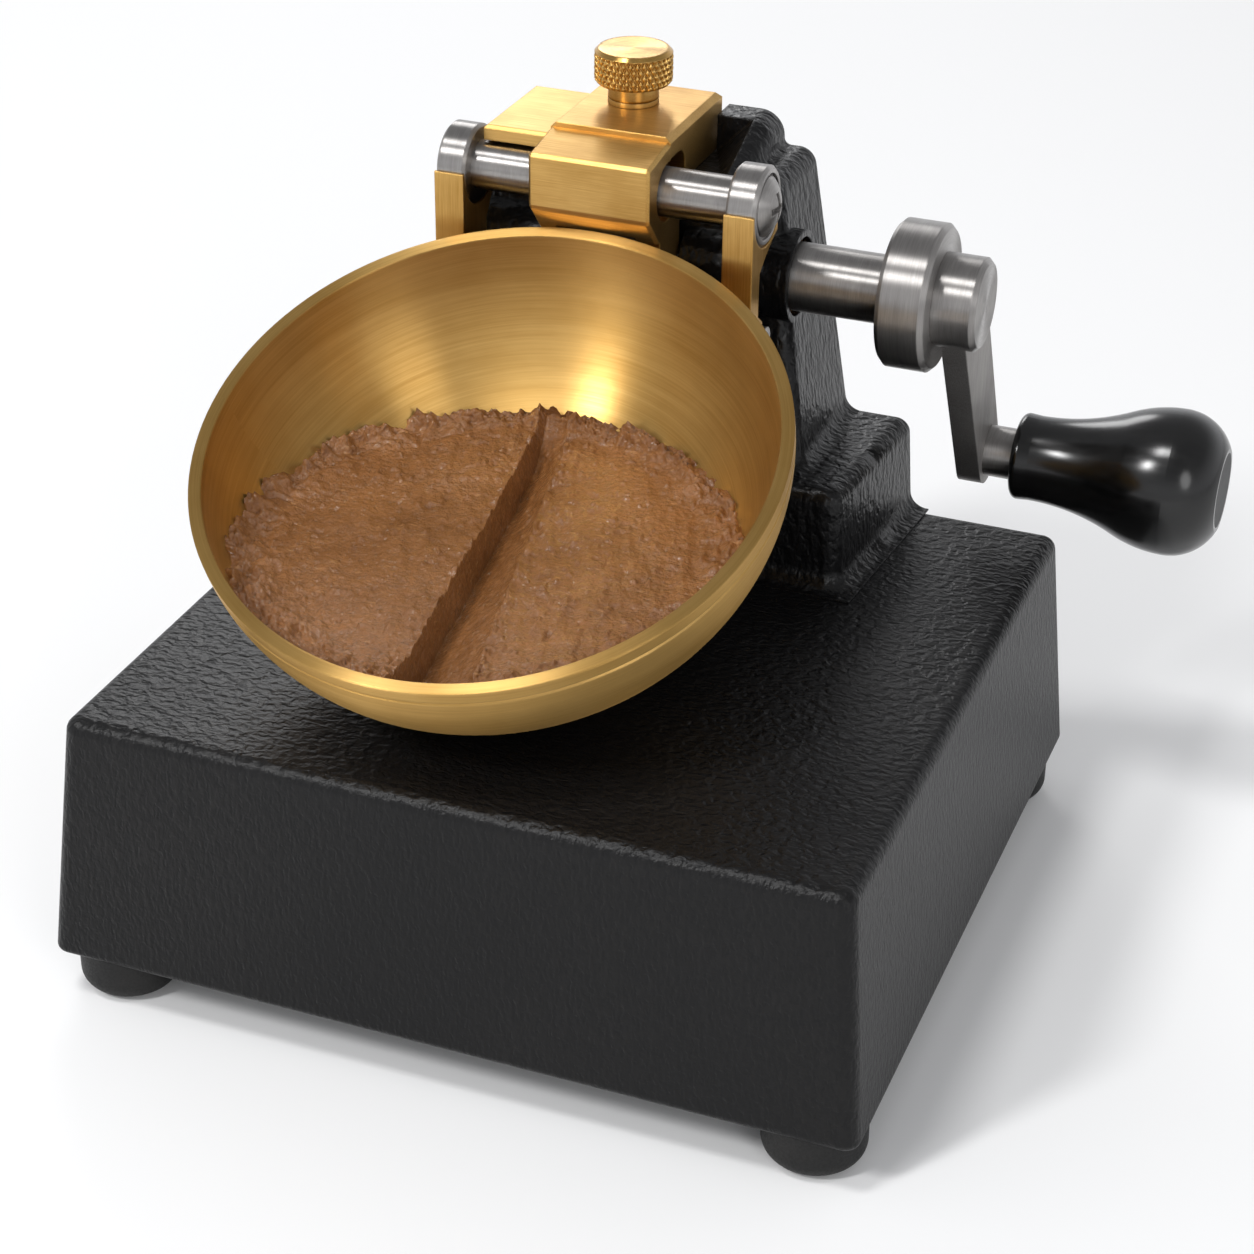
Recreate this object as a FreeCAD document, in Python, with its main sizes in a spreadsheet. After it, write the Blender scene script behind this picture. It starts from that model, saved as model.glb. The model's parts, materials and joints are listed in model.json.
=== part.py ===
import FreeCAD, Part
import Sketcher
import math
import os

# Liquid limit device: a brass cup is lifted by a cam and dropped on a heavy base block.
# Frame: Z up, front of the device to -Y, crank to +X. The origin lies on the bench, under
# the middle of the whole outline. Lengths are millimetres, angles are degrees.

SIZES = {
    # Base block and feet
    "base_width": 125.0,
    "base_depth": 117.0,
    "base_height": 41.5,
    "base_draft": 5.0,
    "base_corner": 2.5,
    "base_edge": 2.3,
    "base_under_edge": 1.2,
    "foot_diameter": 16.0,
    "foot_height": 8.0,
    "foot_round": 3.2,
    "foot_inset": 8.9,
    "foot_recess": 4.0,
    "foot_screw_shank": 4.0,
    "foot_screw_length": 14.0,
    "foot_screw_head": 7.0,
    "foot_screw_head_height": 2.4,
    "foot_screw_gap": 0.3,
    # Column casting
    "mechanism_shift": 9.0,
    "step_side": 9.3,
    "step_depth": 34.0,
    "step_height": 17.0,
    "step_splay": 2.8,
    "step_draft": 3.0,
    "step_edge": 2.5,
    "skirt_thickness": 0.25,
    "skirt_radius": 3.0,
    "tower_spread": 7.8,
    "tower_foot_depth": 27.0,
    "shoulder_width": 5.2,
    "tower_top_front": 38.6,
    "tower_rear_lean": 1.5,
    "tower_edge": 3.0,
    "head_rise": 5.5,
    "head_flat": 6.0,
    "head_front_rise": 0.6,
    "head_front_setback": 0.5,
    "head_side_flat": 0.1,
    "head_root": 1.2,
    "ridge_inset": 3.5,
    "ridge_gap": 0.4,
    "way_gap": 0.3,
    "way_sink": 0.7,
    "column_bolt": 6.0,
    "column_bolt_head": 10.0,
    "column_bolt_head_height": 6.0,
    "column_bolt_length": 44.0,
    "column_bolt_recess": 9.0,
    "column_bolt_well_gap": 0.5,
    "column_bolt_inset": 10.6,
    "column_bolt_depth": 14.0,
    # Hinge line and shaft line
    "rod_back": 29.0,
    "rod_height": 63.0,
    "rod_above_way": 0.7,
    "shaft_back": 40.2,
    "shaft_drop": 15.6,
    # Cup
    "cup_ball_radius": 54.0,
    "cup_side_radius": 29.0,
    "cup_mouth_radius": 44.0,
    "cup_wall": 2.0,
    "cup_line_drop": 2.2,
    "cup_line_width": 0.6,
    "cup_line_depth": 0.3,
    "cup_tilt": 24.2,
    "cup_reach": 47.9,
    "cup_rest_gap": 0.3,
    # Hanger, arms and knuckles
    "arm_spread": 44.0,
    "arm_width": 5.0,
    "arm_front": 7.0,
    "arm_seat_rise": 0.4,
    "arm_cheek_back": 5.0,
    "arm_cheek_lip": 0.1,
    "arm_cheek_drop": 5.6,
    "arm_cheek_round": 26.0,
    "arm_waist_drop": 10.2,
    "right_arm_depth": 3.8,
    "left_arm_depth": 9.0,
    "arm_heel_rise": 8.0,
    "arm_heel_slope": 1.6,
    "arm_bottom": 27.0,
    "hanger_height": 13.0,
    "hanger_front": 13.0,
    "hanger_back": 1.0,
    "knuckle_diameter": 13.0,
    "knuckle_recess": 0.6,
    "knuckle_recess_diameter": 10.6,
    "knuckle_edge": 0.5,
    "rod_diameter": 8.0,
    "rod_fit": 0.02,
    "arm_screw": 2.5,
    "arm_screw_head": 4.5,
    "arm_screw_head_height": 1.6,
    "arm_screw_length": 11.0,
    "arm_screw_low": 24.7,
    "arm_screw_pitch": 3.8,
    "arm_screw_back": 3.8,
    "rod_screw": 4.0,
    "rod_screw_head": 9.6,
    "rod_screw_dome": 2.0,
    "rod_screw_rim": 0.5,
    "rod_screw_length": 9.0,
    "rod_screw_cross": 5.0,
    "rod_screw_cross_width": 1.1,
    "rod_screw_cross_depth": 1.2,
    # Soil pat
    "soil_gap": 0.15,
    "soil_surface_height": 20.1,
    "soil_surface_front": 27.0,
    "soil_slope": 7.1,
    "soil_groove_left": 3.45,
    "soil_groove_right": 4.3,
    "soil_left_turn": 5.8,
    "soil_right_turn": 10.6,
    "soil_groove_depth": 6.0,
    "soil_split": 0.3,
    # Carriage
    "block_width": 20.4,
    "block_front": 8.4,
    "block_front_low": 2.7,
    "block_front_high": 6.3,
    "block_back": 1.1,
    "block_top_rise": 7.7,
    "block_shelf_drop": 0.4,
    "block_throat_front": 4.0,
    "block_throat_low": 7.6,
    "block_edge": 0.5,
    "ear_thickness": 3.5,
    "ear_front": 3.0,
    "ear_back": 5.8,
    "ear_low": 12.5,
    "ear_root": 6.5,
    "clamp_block_depth": 24.1,
    "clamp_block_top": 8.5,
    "clamp_block_edge": 0.9,
    "arch_gap": 0.3,
    "arch_back": 7.9,
    "arch_round": 3.0,
    "wing_arm_gap": 1.0,
    "wing_front": 0.8,
    "wing_depth": 21.1,
    "wing_thickness": 3.8,
    "wing_top": 7.0,
    "wing_rod_gap": 0.6,
    "hinge_bush_wall": 0.8,
    "hinge_bush_length": 7.0,
    "hinge_bush_recess": 1.2,
    "rod_running_gap": 0.05,
    "block_screw": 1.6,
    "block_screw_head": 3.2,
    "block_screw_head_height": 2.0,
    "block_screw_grip": 4.0,
    "block_screw_spacing": 13.6,
    "block_screw_rise": 5.9,
    "block_screw_well": 3.2,
    "well_gap": 0.2,
    "wing_screw_spacing": 7.5,
    "wing_screw_back": 10.5,
    "wing_screw_grip": 2.2,
    "wing_screw_sink": 0.2,
    "screw_tip_gap": 0.2,
    "wing_screw_head": 3.0,
    "wing_screw_head_height": 1.5,
    "carriage_travel": 1.5,
    "carriage_gap": 0.05,
    # Thumb screw
    "thumb_back": 44.0,
    "thumb_side": 1.5,
    "thumb_head_diameter": 12.9,
    "thumb_head_height": 4.8,
    "thumb_head_edge": 1.3,
    "thumb_under_edge": 0.4,
    "thumb_neck_diameter": 8.3,
    "thumb_neck_height": 3.3,
    "thumb_stud_diameter": 4.0,
    "thumb_stud_length": 13.3,
    "thumb_slot_gap": 0.2,
    "thumb_thread_gap": 0.02,
    "washer_thickness": 0.8,
    "washer_diameter": 8.3,
    "washer_bore_gap": 0.15,
    "washer_seat_gap": 0.05,
    # Crank train
    "shaft_diameter": 11.2,
    "shaft_core_diameter": 8.0,
    "shaft_end_diameter": 6.0,
    "shaft_step": 14.0,
    "shaft_fit": 0.03,
    "seat_fit": 0.02,
    "bush_wall": 0.9,
    "bush_length": 9.0,
    "bush_recess": 1.5,
    "boss_wall": 2.0,
    "boss_proud": 1.2,
    "boss_start": 10.7,
    "collar_gap": 16.9,
    "collar_diameter": 24.0,
    "collar_width": 8.0,
    "collar_edge": 0.8,
    "collar_screw": 4.0,
    "collar_screw_length": 5.0,
    "hub_diameter": 15.2,
    "hub_length": 7.1,
    "hub_edge": 0.8,
    "arm_setback": 1.8,
    "crank_thickness": 4.1,
    "crank_top_width": 13.0,
    "crank_end_width": 11.6,
    "handle_clear": 1.55,
    "crank_angle": 28.2,
    "spindle_diameter": 5.0,
    "spindle_shoulder": 8.7,
    "spindle_shoulder_length": 4.7,
    "spindle_head": 8.4,
    "spindle_head_height": 2.4,
    "grip_gap": 0.3,
    "grip_play": 0.08,
    "grip_length": 34.8,
    "grip_neck": 14.7,
    "grip_neck_round": 1.2,
    "grip_waist": 14.4,
    "grip_bulb": 24.6,
    "grip_bulb_place": 26.8,
    "grip_join": 20.8,
    "grip_join_place": 18.0,
    "grip_end": 14.0,
    "grip_cap": 12.6,
    "grip_cap_thickness": 1.5,
    # Cam and follower
    "cam_low": 6.5,
    "cam_rise": 2.7,
    "cam_width": 10.0,
    "cam_drop_angle": 36.0,
    "cam_pin": 2.5,
    "cam_pin_length": 12.4,
    "cam_clear": 1.2,
    "cam_side_clear": 3.0,
    "follower_width": 9.0,
    "follower_height": 9.0,
    "follower_inset": 1.5,
    "follower_gap": 0.3,
    # Far end of the shaft
    "end_washer_diameter": 10.0,
    "end_washer_thickness": 1.0,
    "end_gap": 0.3,
    "end_sink": 4.2,
    "end_washer_gap": 0.6,
    "end_screw": 4.0,
    "end_screw_head": 7.0,
    "end_screw_head_height": 2.5,
    "end_screw_length": 10.0,
}

# A hexagon socket's corner radius as a share of the head's diameter, and its depth of its height
SOCKET_WIDTH = 0.3
SOCKET_DEPTH = 0.6

# A half circle is drawn with a radius this much larger, so that it has one centre
HALF_CIRCLE = 1.0001

doc = FreeCAD.newDocument("liquid_limit_device")
sheet = doc.addObject("Spreadsheet::Sheet", "Sizes")


class Size:
    """A length or angle with the formula that gives it: shapes start right and stay bound."""

    def __init__(self, value, text):
        self.value = float(value)
        self.text = text

    def __add__(self, other):
        other = size(other)
        return Size(self.value + other.value, f"({self.text} + {other.text})")

    def __radd__(self, other):
        return size(other) + self

    def __sub__(self, other):
        other = size(other)
        return Size(self.value - other.value, f"({self.text} - {other.text})")

    def __rsub__(self, other):
        return size(other) - self

    def __mul__(self, other):
        other = size(other)
        return Size(self.value * other.value, f"({self.text} * {other.text})")

    def __rmul__(self, other):
        return size(other) * self

    def __truediv__(self, other):
        other = size(other)
        return Size(self.value / other.value, f"({self.text} / {other.text})")

    def __neg__(self):
        return size(0) - self


def size(value):
    """A plain number as a Size, or a Size as it is."""
    if isinstance(value, Size):
        return value
    return Size(value, repr(float(value)))


def sine(angle):
    angle = size(angle)
    return Size(math.sin(math.radians(angle.value)), f"sin({angle.text})")


def cosine(angle):
    angle = size(angle)
    return Size(math.cos(math.radians(angle.value)), f"cos({angle.text})")


def tangent(angle):
    angle = size(angle)
    return Size(math.tan(math.radians(angle.value)), f"tan({angle.text})")


def root(square):
    return Size(math.sqrt(square.value), f"sqrt({square.text})")


def write_sheet():
    """Each driving size in a cell of its own, with its name as the alias."""
    for row, (name, value) in enumerate(SIZES.items(), start=1):
        sheet.set(f"A{row}", name)
        sheet.set(f"B{row}", str(value))
        sheet.setAlias(f"B{row}", name)
    doc.recompute()


class Named:
    """Sizes by name: s.base_width and so on."""

    def __getattr__(self, name):
        return Size(SIZES[name], f"Sizes.{name}")


s = Named()
pieces = []


def keep(thing, label):
    """Names a finished sub-part, which is also the name of its file."""
    thing.Label = label
    pieces.append(thing)
    return thing


def bind(thing, **sizes):
    """Ties properties of a feature to sizes."""
    for name, value in sizes.items():
        thing.setExpression(name, size(value).text)


def place(thing, x, y, z, axis=(1, 0, 0), turn=0):
    """Puts a sub-part at x, y, z, turned about an axis."""
    x, y, z, turn = size(x), size(y), size(z), size(turn)
    spin = f"rotation(vector({axis[0]}; {axis[1]}; {axis[2]}); {turn.text})"
    thing.setExpression("Placement", f"placement(vector({x.text}; {y.text}; {z.text}); {spin})")


def origin_plane(body, role):
    return [plane for plane in body.Origin.OriginFeatures if plane.Role == role][0]


def new_body(label):
    body = doc.addObject("PartDesign::Body", label)
    return keep(body, label)


def new_sketch(body, role, lift=0):
    """A sketch on one of the body's own origin planes, lifted along the plane's normal."""
    drawing = body.newObject("Sketcher::SketchObject", body.Name + "_sketch")
    drawing.AttachmentSupport = [(origin_plane(body, role), "")]
    drawing.MapMode = "FlatFace"
    lift = size(lift)
    drawing.AttachmentOffset = FreeCAD.Placement(FreeCAD.Vector(0, 0, lift.value), FreeCAD.Rotation())
    drawing.setExpression("AttachmentOffset.Base.z", lift.text)
    return drawing


def pin_point(drawing, edge, end, x, y):
    """Fixes one end of an edge at x, y, on an axis where a value is plain zero."""
    for kind, value, axis in (("DistanceX", x, -2), ("DistanceY", y, -1)):
        if not isinstance(value, Size) and value == 0:
            drawing.addConstraint(Sketcher.Constraint("PointOnObject", edge, end, axis))
        else:
            value = size(value)
            number = drawing.addConstraint(Sketcher.Constraint(kind, edge, end, value.value))
            drawing.setExpression(f"Constraints[{number}]", value.text)


def draw(drawing, corners):
    """A closed outline. A corner is (x, y), or (x, y, radius, side) where an arc of that radius
    runs on to the next corner and side +1 or -1 puts its centre left or right of the way."""
    count = len(corners)
    points = [FreeCAD.Vector(size(c[0]).value, size(c[1]).value, 0) for c in corners]
    for index, corner in enumerate(corners):
        start = points[index]
        end = points[(index + 1) % count]
        if len(corner) == 2:
            drawing.addGeometry(Part.LineSegment(start, end), False)
            continue
        reach = size(corner[2]).value
        half = (end - start) * 0.5
        left = FreeCAD.Vector(-half.y, half.x, 0).normalize()
        rise = math.sqrt(reach * reach - half.Length * half.Length)
        centre = start + half + left * (rise * corner[3])
        crown = centre - left * (reach * corner[3])
        drawing.addGeometry(Part.Arc(start, crown, end), False)
    first = drawing.GeometryCount - count
    for index, corner in enumerate(corners):
        edge = first + index
        after = first + (index + 1) % count
        here, there = arc_ends(drawing, edge, points[index])
        next_here, _ = arc_ends(drawing, after, points[(index + 1) % count])
        drawing.addConstraint(Sketcher.Constraint("Coincident", edge, there, after, next_here))
        pin_point(drawing, edge, here, corner[0], corner[1])
        if len(corner) > 2:
            reach = size(corner[2])
            number = drawing.addConstraint(Sketcher.Constraint("Radius", edge, reach.value))
            drawing.setExpression(f"Constraints[{number}]", reach.text)
    return drawing


def arc_ends(drawing, edge, start):
    """Which end of an edge lies at start: an arc always runs anticlockwise."""
    if (drawing.getPoint(edge, 1) - start).Length < 1e-6:
        return 1, 2
    return 2, 1


def ring(drawing, x, y, radius):
    """A full circle with its centre at x, y."""
    radius = size(radius)
    centre = FreeCAD.Vector(size(x).value, size(y).value, 0)
    edge = drawing.addGeometry(Part.Circle(centre, FreeCAD.Vector(0, 0, 1), radius.value), False)
    pin_point(drawing, edge, 3, x, y)
    number = drawing.addConstraint(Sketcher.Constraint("Radius", edge, radius.value))
    drawing.setExpression(f"Constraints[{number}]", radius.text)
    return drawing


def rectangle(left, bottom, right, top):
    return [(left, bottom), (right, bottom), (right, top), (left, top)]


def solid_of(body):
    doc.recompute()
    return body.Shape


def pad(body, drawing, length, both=False, back=False):
    """Material along the sketch's normal: both ways from it, or behind it."""
    feature = body.newObject("PartDesign::Pad", body.Name + "_pad")
    feature.Profile = drawing
    feature.Midplane = both
    feature.Reversed = back
    bind(feature, Length=length)
    return feature


def cut(body, drawing, length, both=False, back=False):
    """A pocket along the sketch's normal, or against it. It has to take material away."""
    before = solid_of(body).Volume
    feature = body.newObject("PartDesign::Pocket", body.Name + "_cut")
    feature.Profile = drawing
    feature.Midplane = both
    feature.Reversed = not back
    bind(feature, Length=length)
    if solid_of(body).Volume > before - 1e-3:
        raise RuntimeError(f"{feature.Name} cuts nothing from {body.Label}")
    return feature


def revolve(body, drawing, turned=False, along="V_Axis"):
    """A turned solid, or a turned cut, about the sketch's own vertical or level axis."""
    kind = "PartDesign::Groove" if turned else "PartDesign::Revolution"
    feature = body.newObject(kind, body.Name + "_turned")
    feature.Profile = drawing
    feature.ReferenceAxis = (drawing, [along])
    feature.Angle = 360.0
    return feature


def loft(body, first, second, away=False):
    """Flat-sided material, or a flat-sided cut, between two outlines."""
    kind = "PartDesign::SubtractiveLoft" if away else "PartDesign::AdditiveLoft"
    feature = body.newObject(kind, body.Name + "_loft")
    feature.Profile = first
    feature.Sections = [second]
    feature.Ruled = True
    return feature


def edges_where(body, test):
    """Names of the edges whose middle point and direction pass the test."""
    names = []
    for number, edge in enumerate(solid_of(body).Edges, start=1):
        if edge.Length < 1e-4:
            continue
        halfway = (edge.FirstParameter + edge.LastParameter) / 2
        if test(edge.valueAt(halfway), edge.tangentAt(halfway), edge):
            names.append(f"Edge{number}")
    if not names:
        raise RuntimeError(f"no edge of {body.Label} found for a round or a bevel")
    return names


def dress(body, kind, test, amount):
    """Rounds or bevels the edges of the body that pass the test."""
    names = edges_where(body, test)
    under = body.Tip
    feature = body.newObject("PartDesign::" + kind, body.Name + "_edge")
    feature.Base = (under, names)
    if kind == "Fillet":
        bind(feature, Radius=amount)
    else:
        bind(feature, Size=amount)
    doc.recompute()
    if feature.Shape.isNull() or not feature.Shape.isValid():
        raise RuntimeError(f"{feature.Name} fails on {body.Label}: {feature.State}")
    return feature


def near(value, target, slack=0.02):
    return abs(value - size(target).value) < slack


def turned_piece(label, outline):
    """A turned solid about its own Z axis from an outline of (radius, height) corners."""
    body = new_body(label)
    revolve(body, draw(new_sketch(body, "XZ_Plane"), outline))
    return body


def turned_bar(label, outline):
    """A turned solid about its own X axis from an outline of (length, radius) corners."""
    body = new_body(label)
    revolve(body, draw(new_sketch(body, "XZ_Plane"), outline), along="H_Axis")
    return body


def place_in_mechanism(thing, x, y, z, axis=(1, 0, 0), turn=0):
    """Puts a sub-part at x from the mechanism's middle, y from the base's, z from its top."""
    place(thing, middle_x + x, origin_y + y, base_top + z, axis, turn)


# Heights of the main levels, and the offset that puts the origin under the outline's middle
base_top = s.foot_height + s.base_height
base_flare = s.base_height * tangent(s.base_draft)
base_side = s.base_width / 2 + base_flare
base_face = s.base_depth / 2 + base_flare
way_floor = s.rod_height - s.rod_above_way
shoulder_height = way_floor + s.way_sink
head_height = shoulder_height + s.head_rise
head_front_height = shoulder_height + s.head_front_rise
head_edge = s.head_rise - s.head_root - s.head_side_flat
block_half = s.block_width / 2
ridge = block_half + s.ridge_gap + head_height - way_floor
head_width = 2 * (ridge + s.ridge_inset)
tower_top_width = head_width + 2 * s.shoulder_width
tower_foot_width = tower_top_width + 2 * s.tower_spread
step_width = tower_foot_width + 2 * s.step_side
column_bolt_spacing = step_width - 2 * s.column_bolt_inset
wing_width = s.arm_spread / 2 - block_half - s.wing_arm_gap
shaft_height = s.rod_height - s.shaft_drop
crank_radius = shaft_height - s.grip_neck / 2 - s.handle_clear
tower_rise = shoulder_height - s.step_height
shaft_rise = (shaft_height - s.step_height) / tower_rise
tower_taper = (tower_foot_width - tower_top_width) / 2 * shaft_rise
tower_half = tower_foot_width / 2 - tower_taper
tower_side = tower_half + s.boss_proud
collar_place = tower_half + s.collar_gap
hub_place = collar_place + s.collar_width
crank_face = hub_place + s.hub_length - s.arm_setback
grip_place = crank_face + s.spindle_shoulder_length + s.grip_gap
grip_tip = grip_place + s.grip_length
handle_back = s.shaft_back + crank_radius * sine(s.crank_angle)
handle_height = shaft_height - crank_radius * cosine(s.crank_angle)
origin_x = (base_side - (grip_tip - s.mechanism_shift)) / 2
origin_y = (base_face - (handle_back + s.grip_bulb / 2)) / 2
middle_x = origin_x - s.mechanism_shift
tower_back = s.base_depth / 2
step_lean = s.step_height * tangent(s.step_draft)
sunk_end = tower_side - s.end_sink
cam_room = s.cam_low + s.cam_rise + s.cam_clear
pocket_half = s.cam_width / 2 + s.cam_side_clear
clamp_front = s.rod_back + s.block_back
clamp_rear = clamp_front + s.clamp_block_depth
hinge_bush = s.rod_diameter / 2 + s.rod_running_gap + s.hinge_bush_wall
clamp_low = way_floor + s.carriage_gap
clamp_top = s.rod_height + s.clamp_block_top
wing_low = s.rod_height + s.wing_top - s.wing_thickness
washer_low = clamp_top + s.washer_seat_gap
# Cup: mouth arc and ball arc run into each other where both centres lie in line
cup_arc_offset = s.cup_mouth_radius - s.cup_side_radius
cup_arc_gap = s.cup_ball_radius - s.cup_side_radius
cup_ball_rise = root(cup_arc_gap * cup_arc_gap - cup_arc_offset * cup_arc_offset)
cup_back = s.rod_back - s.cup_reach
cup_height = (s.cup_rest_gap + s.cup_ball_radius + s.cup_wall
              - cup_ball_rise * cosine(s.cup_tilt))


def tilted(y, z):
    """A point of the mechanism's middle plane, seen in the tilted frame of the cup's mouth."""
    y, z = size(y) - cup_back, size(z) - cup_height
    lean, upright = sine(s.cup_tilt), cosine(s.cup_tilt)
    return y * upright + z * lean, z * upright - y * lean


def place_with_cup(thing):
    place_in_mechanism(thing, 0, cup_back, cup_height, (1, 0, 0), s.cup_tilt)


def base_block():
    """Solid block with drafted sides and rounded corners, drilled for the column and feet."""
    body = new_body("base_block")
    block = pad(body, draw(new_sketch(body, "XY_Plane"),
                           rectangle(-base_side, -base_face, base_side, base_face)), s.base_height)
    bind(block, TaperAngle=-s.base_draft)
    dress(body, "Fillet", lambda p, t, e: abs(t.z) > 0.9, s.base_corner)
    dress(body, "Fillet", lambda p, t, e: near(p.z, s.base_height), s.base_edge)
    dress(body, "Fillet", lambda p, t, e: near(p.z, 0), s.base_under_edge)
    holes = new_sketch(body, "XY_Plane")
    for x, y in foot_places():
        ring(holes, x, y, s.foot_screw_shank / 2)
    cut(body, holes, s.foot_screw_length - s.foot_height + s.foot_recess + 1)
    bolts = new_sketch(body, "XY_Plane")
    wells = new_sketch(body, "XY_Plane")
    for x, y in column_bolt_places():
        ring(bolts, x, y, s.column_bolt / 2)
        ring(wells, x, y, s.column_bolt_head / 2 + s.column_bolt_well_gap)
    cut(body, bolts, s.base_height + 1)
    cut(body, wells, s.column_bolt_recess)
    place(body, origin_x, origin_y, s.foot_height)
    return body


def foot_places():
    """Foot centres from the base's own middle."""
    x = base_side - s.foot_inset
    y = base_face - s.foot_inset
    return [(-x, -y), (x, -y), (x, y), (-x, y)]


def column_bolt_places():
    """Column bolt centres from the base's own middle."""
    x = column_bolt_spacing / 2
    y = s.base_depth / 2 - s.step_depth / 2
    return [(-s.mechanism_shift - x, y), (x - s.mechanism_shift, y)]


def feet():
    """Four rubber feet with a rounded lower edge and a recess for the screw head."""
    outer = s.foot_diameter / 2
    head = s.foot_screw_head / 2 + s.foot_screw_gap
    shank = s.foot_screw_shank / 2
    names = ["front_left_foot", "front_right_foot", "rear_right_foot", "rear_left_foot"]
    for name, (x, y) in zip(names, foot_places()):
        body = turned_piece(name, [
            (shank, s.foot_recess), (head, s.foot_recess), (head, 0),
            (outer - s.foot_round, 0, s.foot_round, 1), (outer, s.foot_round),
            (outer, s.foot_height), (shank, s.foot_height)])
        place(body, origin_x + x, origin_y + y, 0)


def screw_set(label, places, shank, head, head_height, length, axis=(1, 0, 0)):
    """Identical screws as separate solids in one node: a round head with a hexagon socket and
    a shank. Each is drawn with its head below, its shank along +Z, and turned about the axis."""
    screws = []
    for x, y, z, turn in places:
        bolt = doc.addObject("Part::Cylinder", label + "_shank")
        bind(bolt, Radius=shank / 2, Height=length)
        bolt.setExpression("Placement.Base.z", size(head_height).text)
        cap = doc.addObject("Part::Cylinder", label + "_head")
        bind(cap, Radius=head / 2, Height=head_height)
        body = doc.addObject("Part::Fuse", label + "_body")
        body.Base = cap
        body.Tool = bolt
        socket = doc.addObject("Part::Prism", label + "_socket")
        socket.Polygon = 6
        bind(socket, Circumradius=head * SOCKET_WIDTH, Height=head_height * SOCKET_DEPTH)
        screw = doc.addObject("Part::Cut", label + "_screw")
        screw.Base = body
        screw.Tool = socket
        place(screw, x, y, z, axis, turn)
        screws.append(screw)
    group = doc.addObject("Part::Compound", label)
    group.Links = screws
    return keep(group, label)


def fasteners_below():
    """Foot screws and column bolts, both driven upwards from below."""
    low = s.foot_recess - s.foot_screw_head_height
    places = [(origin_x + x, origin_y + y, low, 0) for x, y in foot_places()]
    screw_set("foot_screws", places, s.foot_screw_shank, s.foot_screw_head,
              s.foot_screw_head_height, s.foot_screw_length)
    start = s.foot_height + s.column_bolt_recess - s.column_bolt_head_height
    places = [(origin_x + x, origin_y + y, start, 0) for x, y in column_bolt_places()]
    screw_set("column_bolts", places, s.column_bolt, s.column_bolt_head,
              s.column_bolt_head_height, s.column_bolt_length)


def column():
    """One casting: step, tapering tower with shaft bosses, and a head with a sloping front.
    Own frame: x from the mechanism's middle, y back from the base's middle, z from its top."""
    body = new_body("column")
    rear = tower_back
    front = rear - s.step_depth
    half = step_width / 2
    flange = s.skirt_radius + 0.2
    for out, thick in ((flange, s.skirt_thickness), (size(0), s.step_height)):
        wide, wider = half + out, half + s.step_splay + out
        step = pad(body, draw(new_sketch(body, "XY_Plane"), [
            (-wide, front - out), (wide, front - out), (wider, rear), (-wider, rear)]), thick)
    bind(step, TaperAngle=-s.step_draft)
    foot_half, top_half = tower_foot_width / 2, tower_top_width / 2
    side = [(rear - s.tower_foot_depth, s.step_height), (rear - step_lean, s.step_height),
            (rear - s.tower_rear_lean, shoulder_height), (s.tower_top_front, shoulder_height)]
    pad(body, draw(new_sketch(body, "YZ_Plane"), side), tower_foot_width, both=True)
    flank = new_sketch(body, "XZ_Plane", -rear - 1)
    for way in (1, -1):
        draw(flank, [(way * top_half, shoulder_height), (way * foot_half, s.step_height),
                     (way * foot_half, shoulder_height)])
    cut(body, flank, s.base_depth)
    head(body, rear)
    round_casting(body, front, rear)
    bosses(body)
    carriage_way(body, rear)
    shaft_bores(body)
    place(body, middle_x, origin_y, base_top)
    return body


def head(body, rear):
    """Raised middle part of the tower top, its front half sloping down to the shoulders."""
    back = rear - s.tower_rear_lean
    front = s.tower_top_front + s.head_front_setback
    side = [(front, shoulder_height - 4), (back, shoulder_height - 4),
            (back, head_height), (back - s.head_flat, head_height),
            (front, head_front_height)]
    pad(body, draw(new_sketch(body, "YZ_Plane"), side), head_width, both=True)


def round_casting(body, front, rear):
    """Rounds of the casting: upright edges, tops, and the hollow rounds where parts meet."""
    step, shoulder = s.step_height.value, shoulder_height.value
    skirt = s.skirt_thickness.value
    step_half = step_width.value / 2
    top_half = tower_top_width.value / 2
    foot_half = tower_foot_width.value / 2
    head_half = head_width.value / 2
    dress(body, "Fillet", lambda p, t, e: abs(t.z) > 0.98 and near(abs(p.x), step_half, 1.5)
          and near(p.y, front, 1.5), s.step_edge)
    dress(body, "Fillet", lambda p, t, e: near(p.z, step) and
          (abs(p.x) > foot_half + 1 or p.y < front.value + 3) and
          not (near(p.y, rear, 1.5) and abs(t.x) > 0.9), s.step_edge)
    dress(body, "Fillet", lambda p, t, e: step < p.z < shoulder + 0.1 and
          top_half - 1 < abs(p.x) < foot_half + 1 and p.y < rear.value - 3 and
          (abs(t.z) > 0.9 or abs(t.y) > 0.9), s.tower_edge)
    dress(body, "Fillet", lambda p, t, e: p.z > shoulder and near(abs(p.x), head_half) and
          abs(t.y) > 0.5, head_edge)
    tower_front = (rear - s.tower_foot_depth).value
    dress(body, "Fillet", lambda p, t, e: near(p.z, step) and abs(p.x) < foot_half + 0.1 and
          tower_front - 0.1 < p.y < rear.value - 1, s.skirt_radius)
    splayed = step_half + s.step_splay.value / 2 + 1
    dress(body, "Fillet", lambda p, t, e: near(p.z, skirt) and abs(p.x) < splayed and
          front.value - 0.1 < p.y < rear.value - 1, s.skirt_radius)
    dress(body, "Fillet", lambda p, t, e: near(p.z, shoulder) and near(abs(p.x), head_half) and
          abs(t.y) > 0.9, s.head_root)


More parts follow.
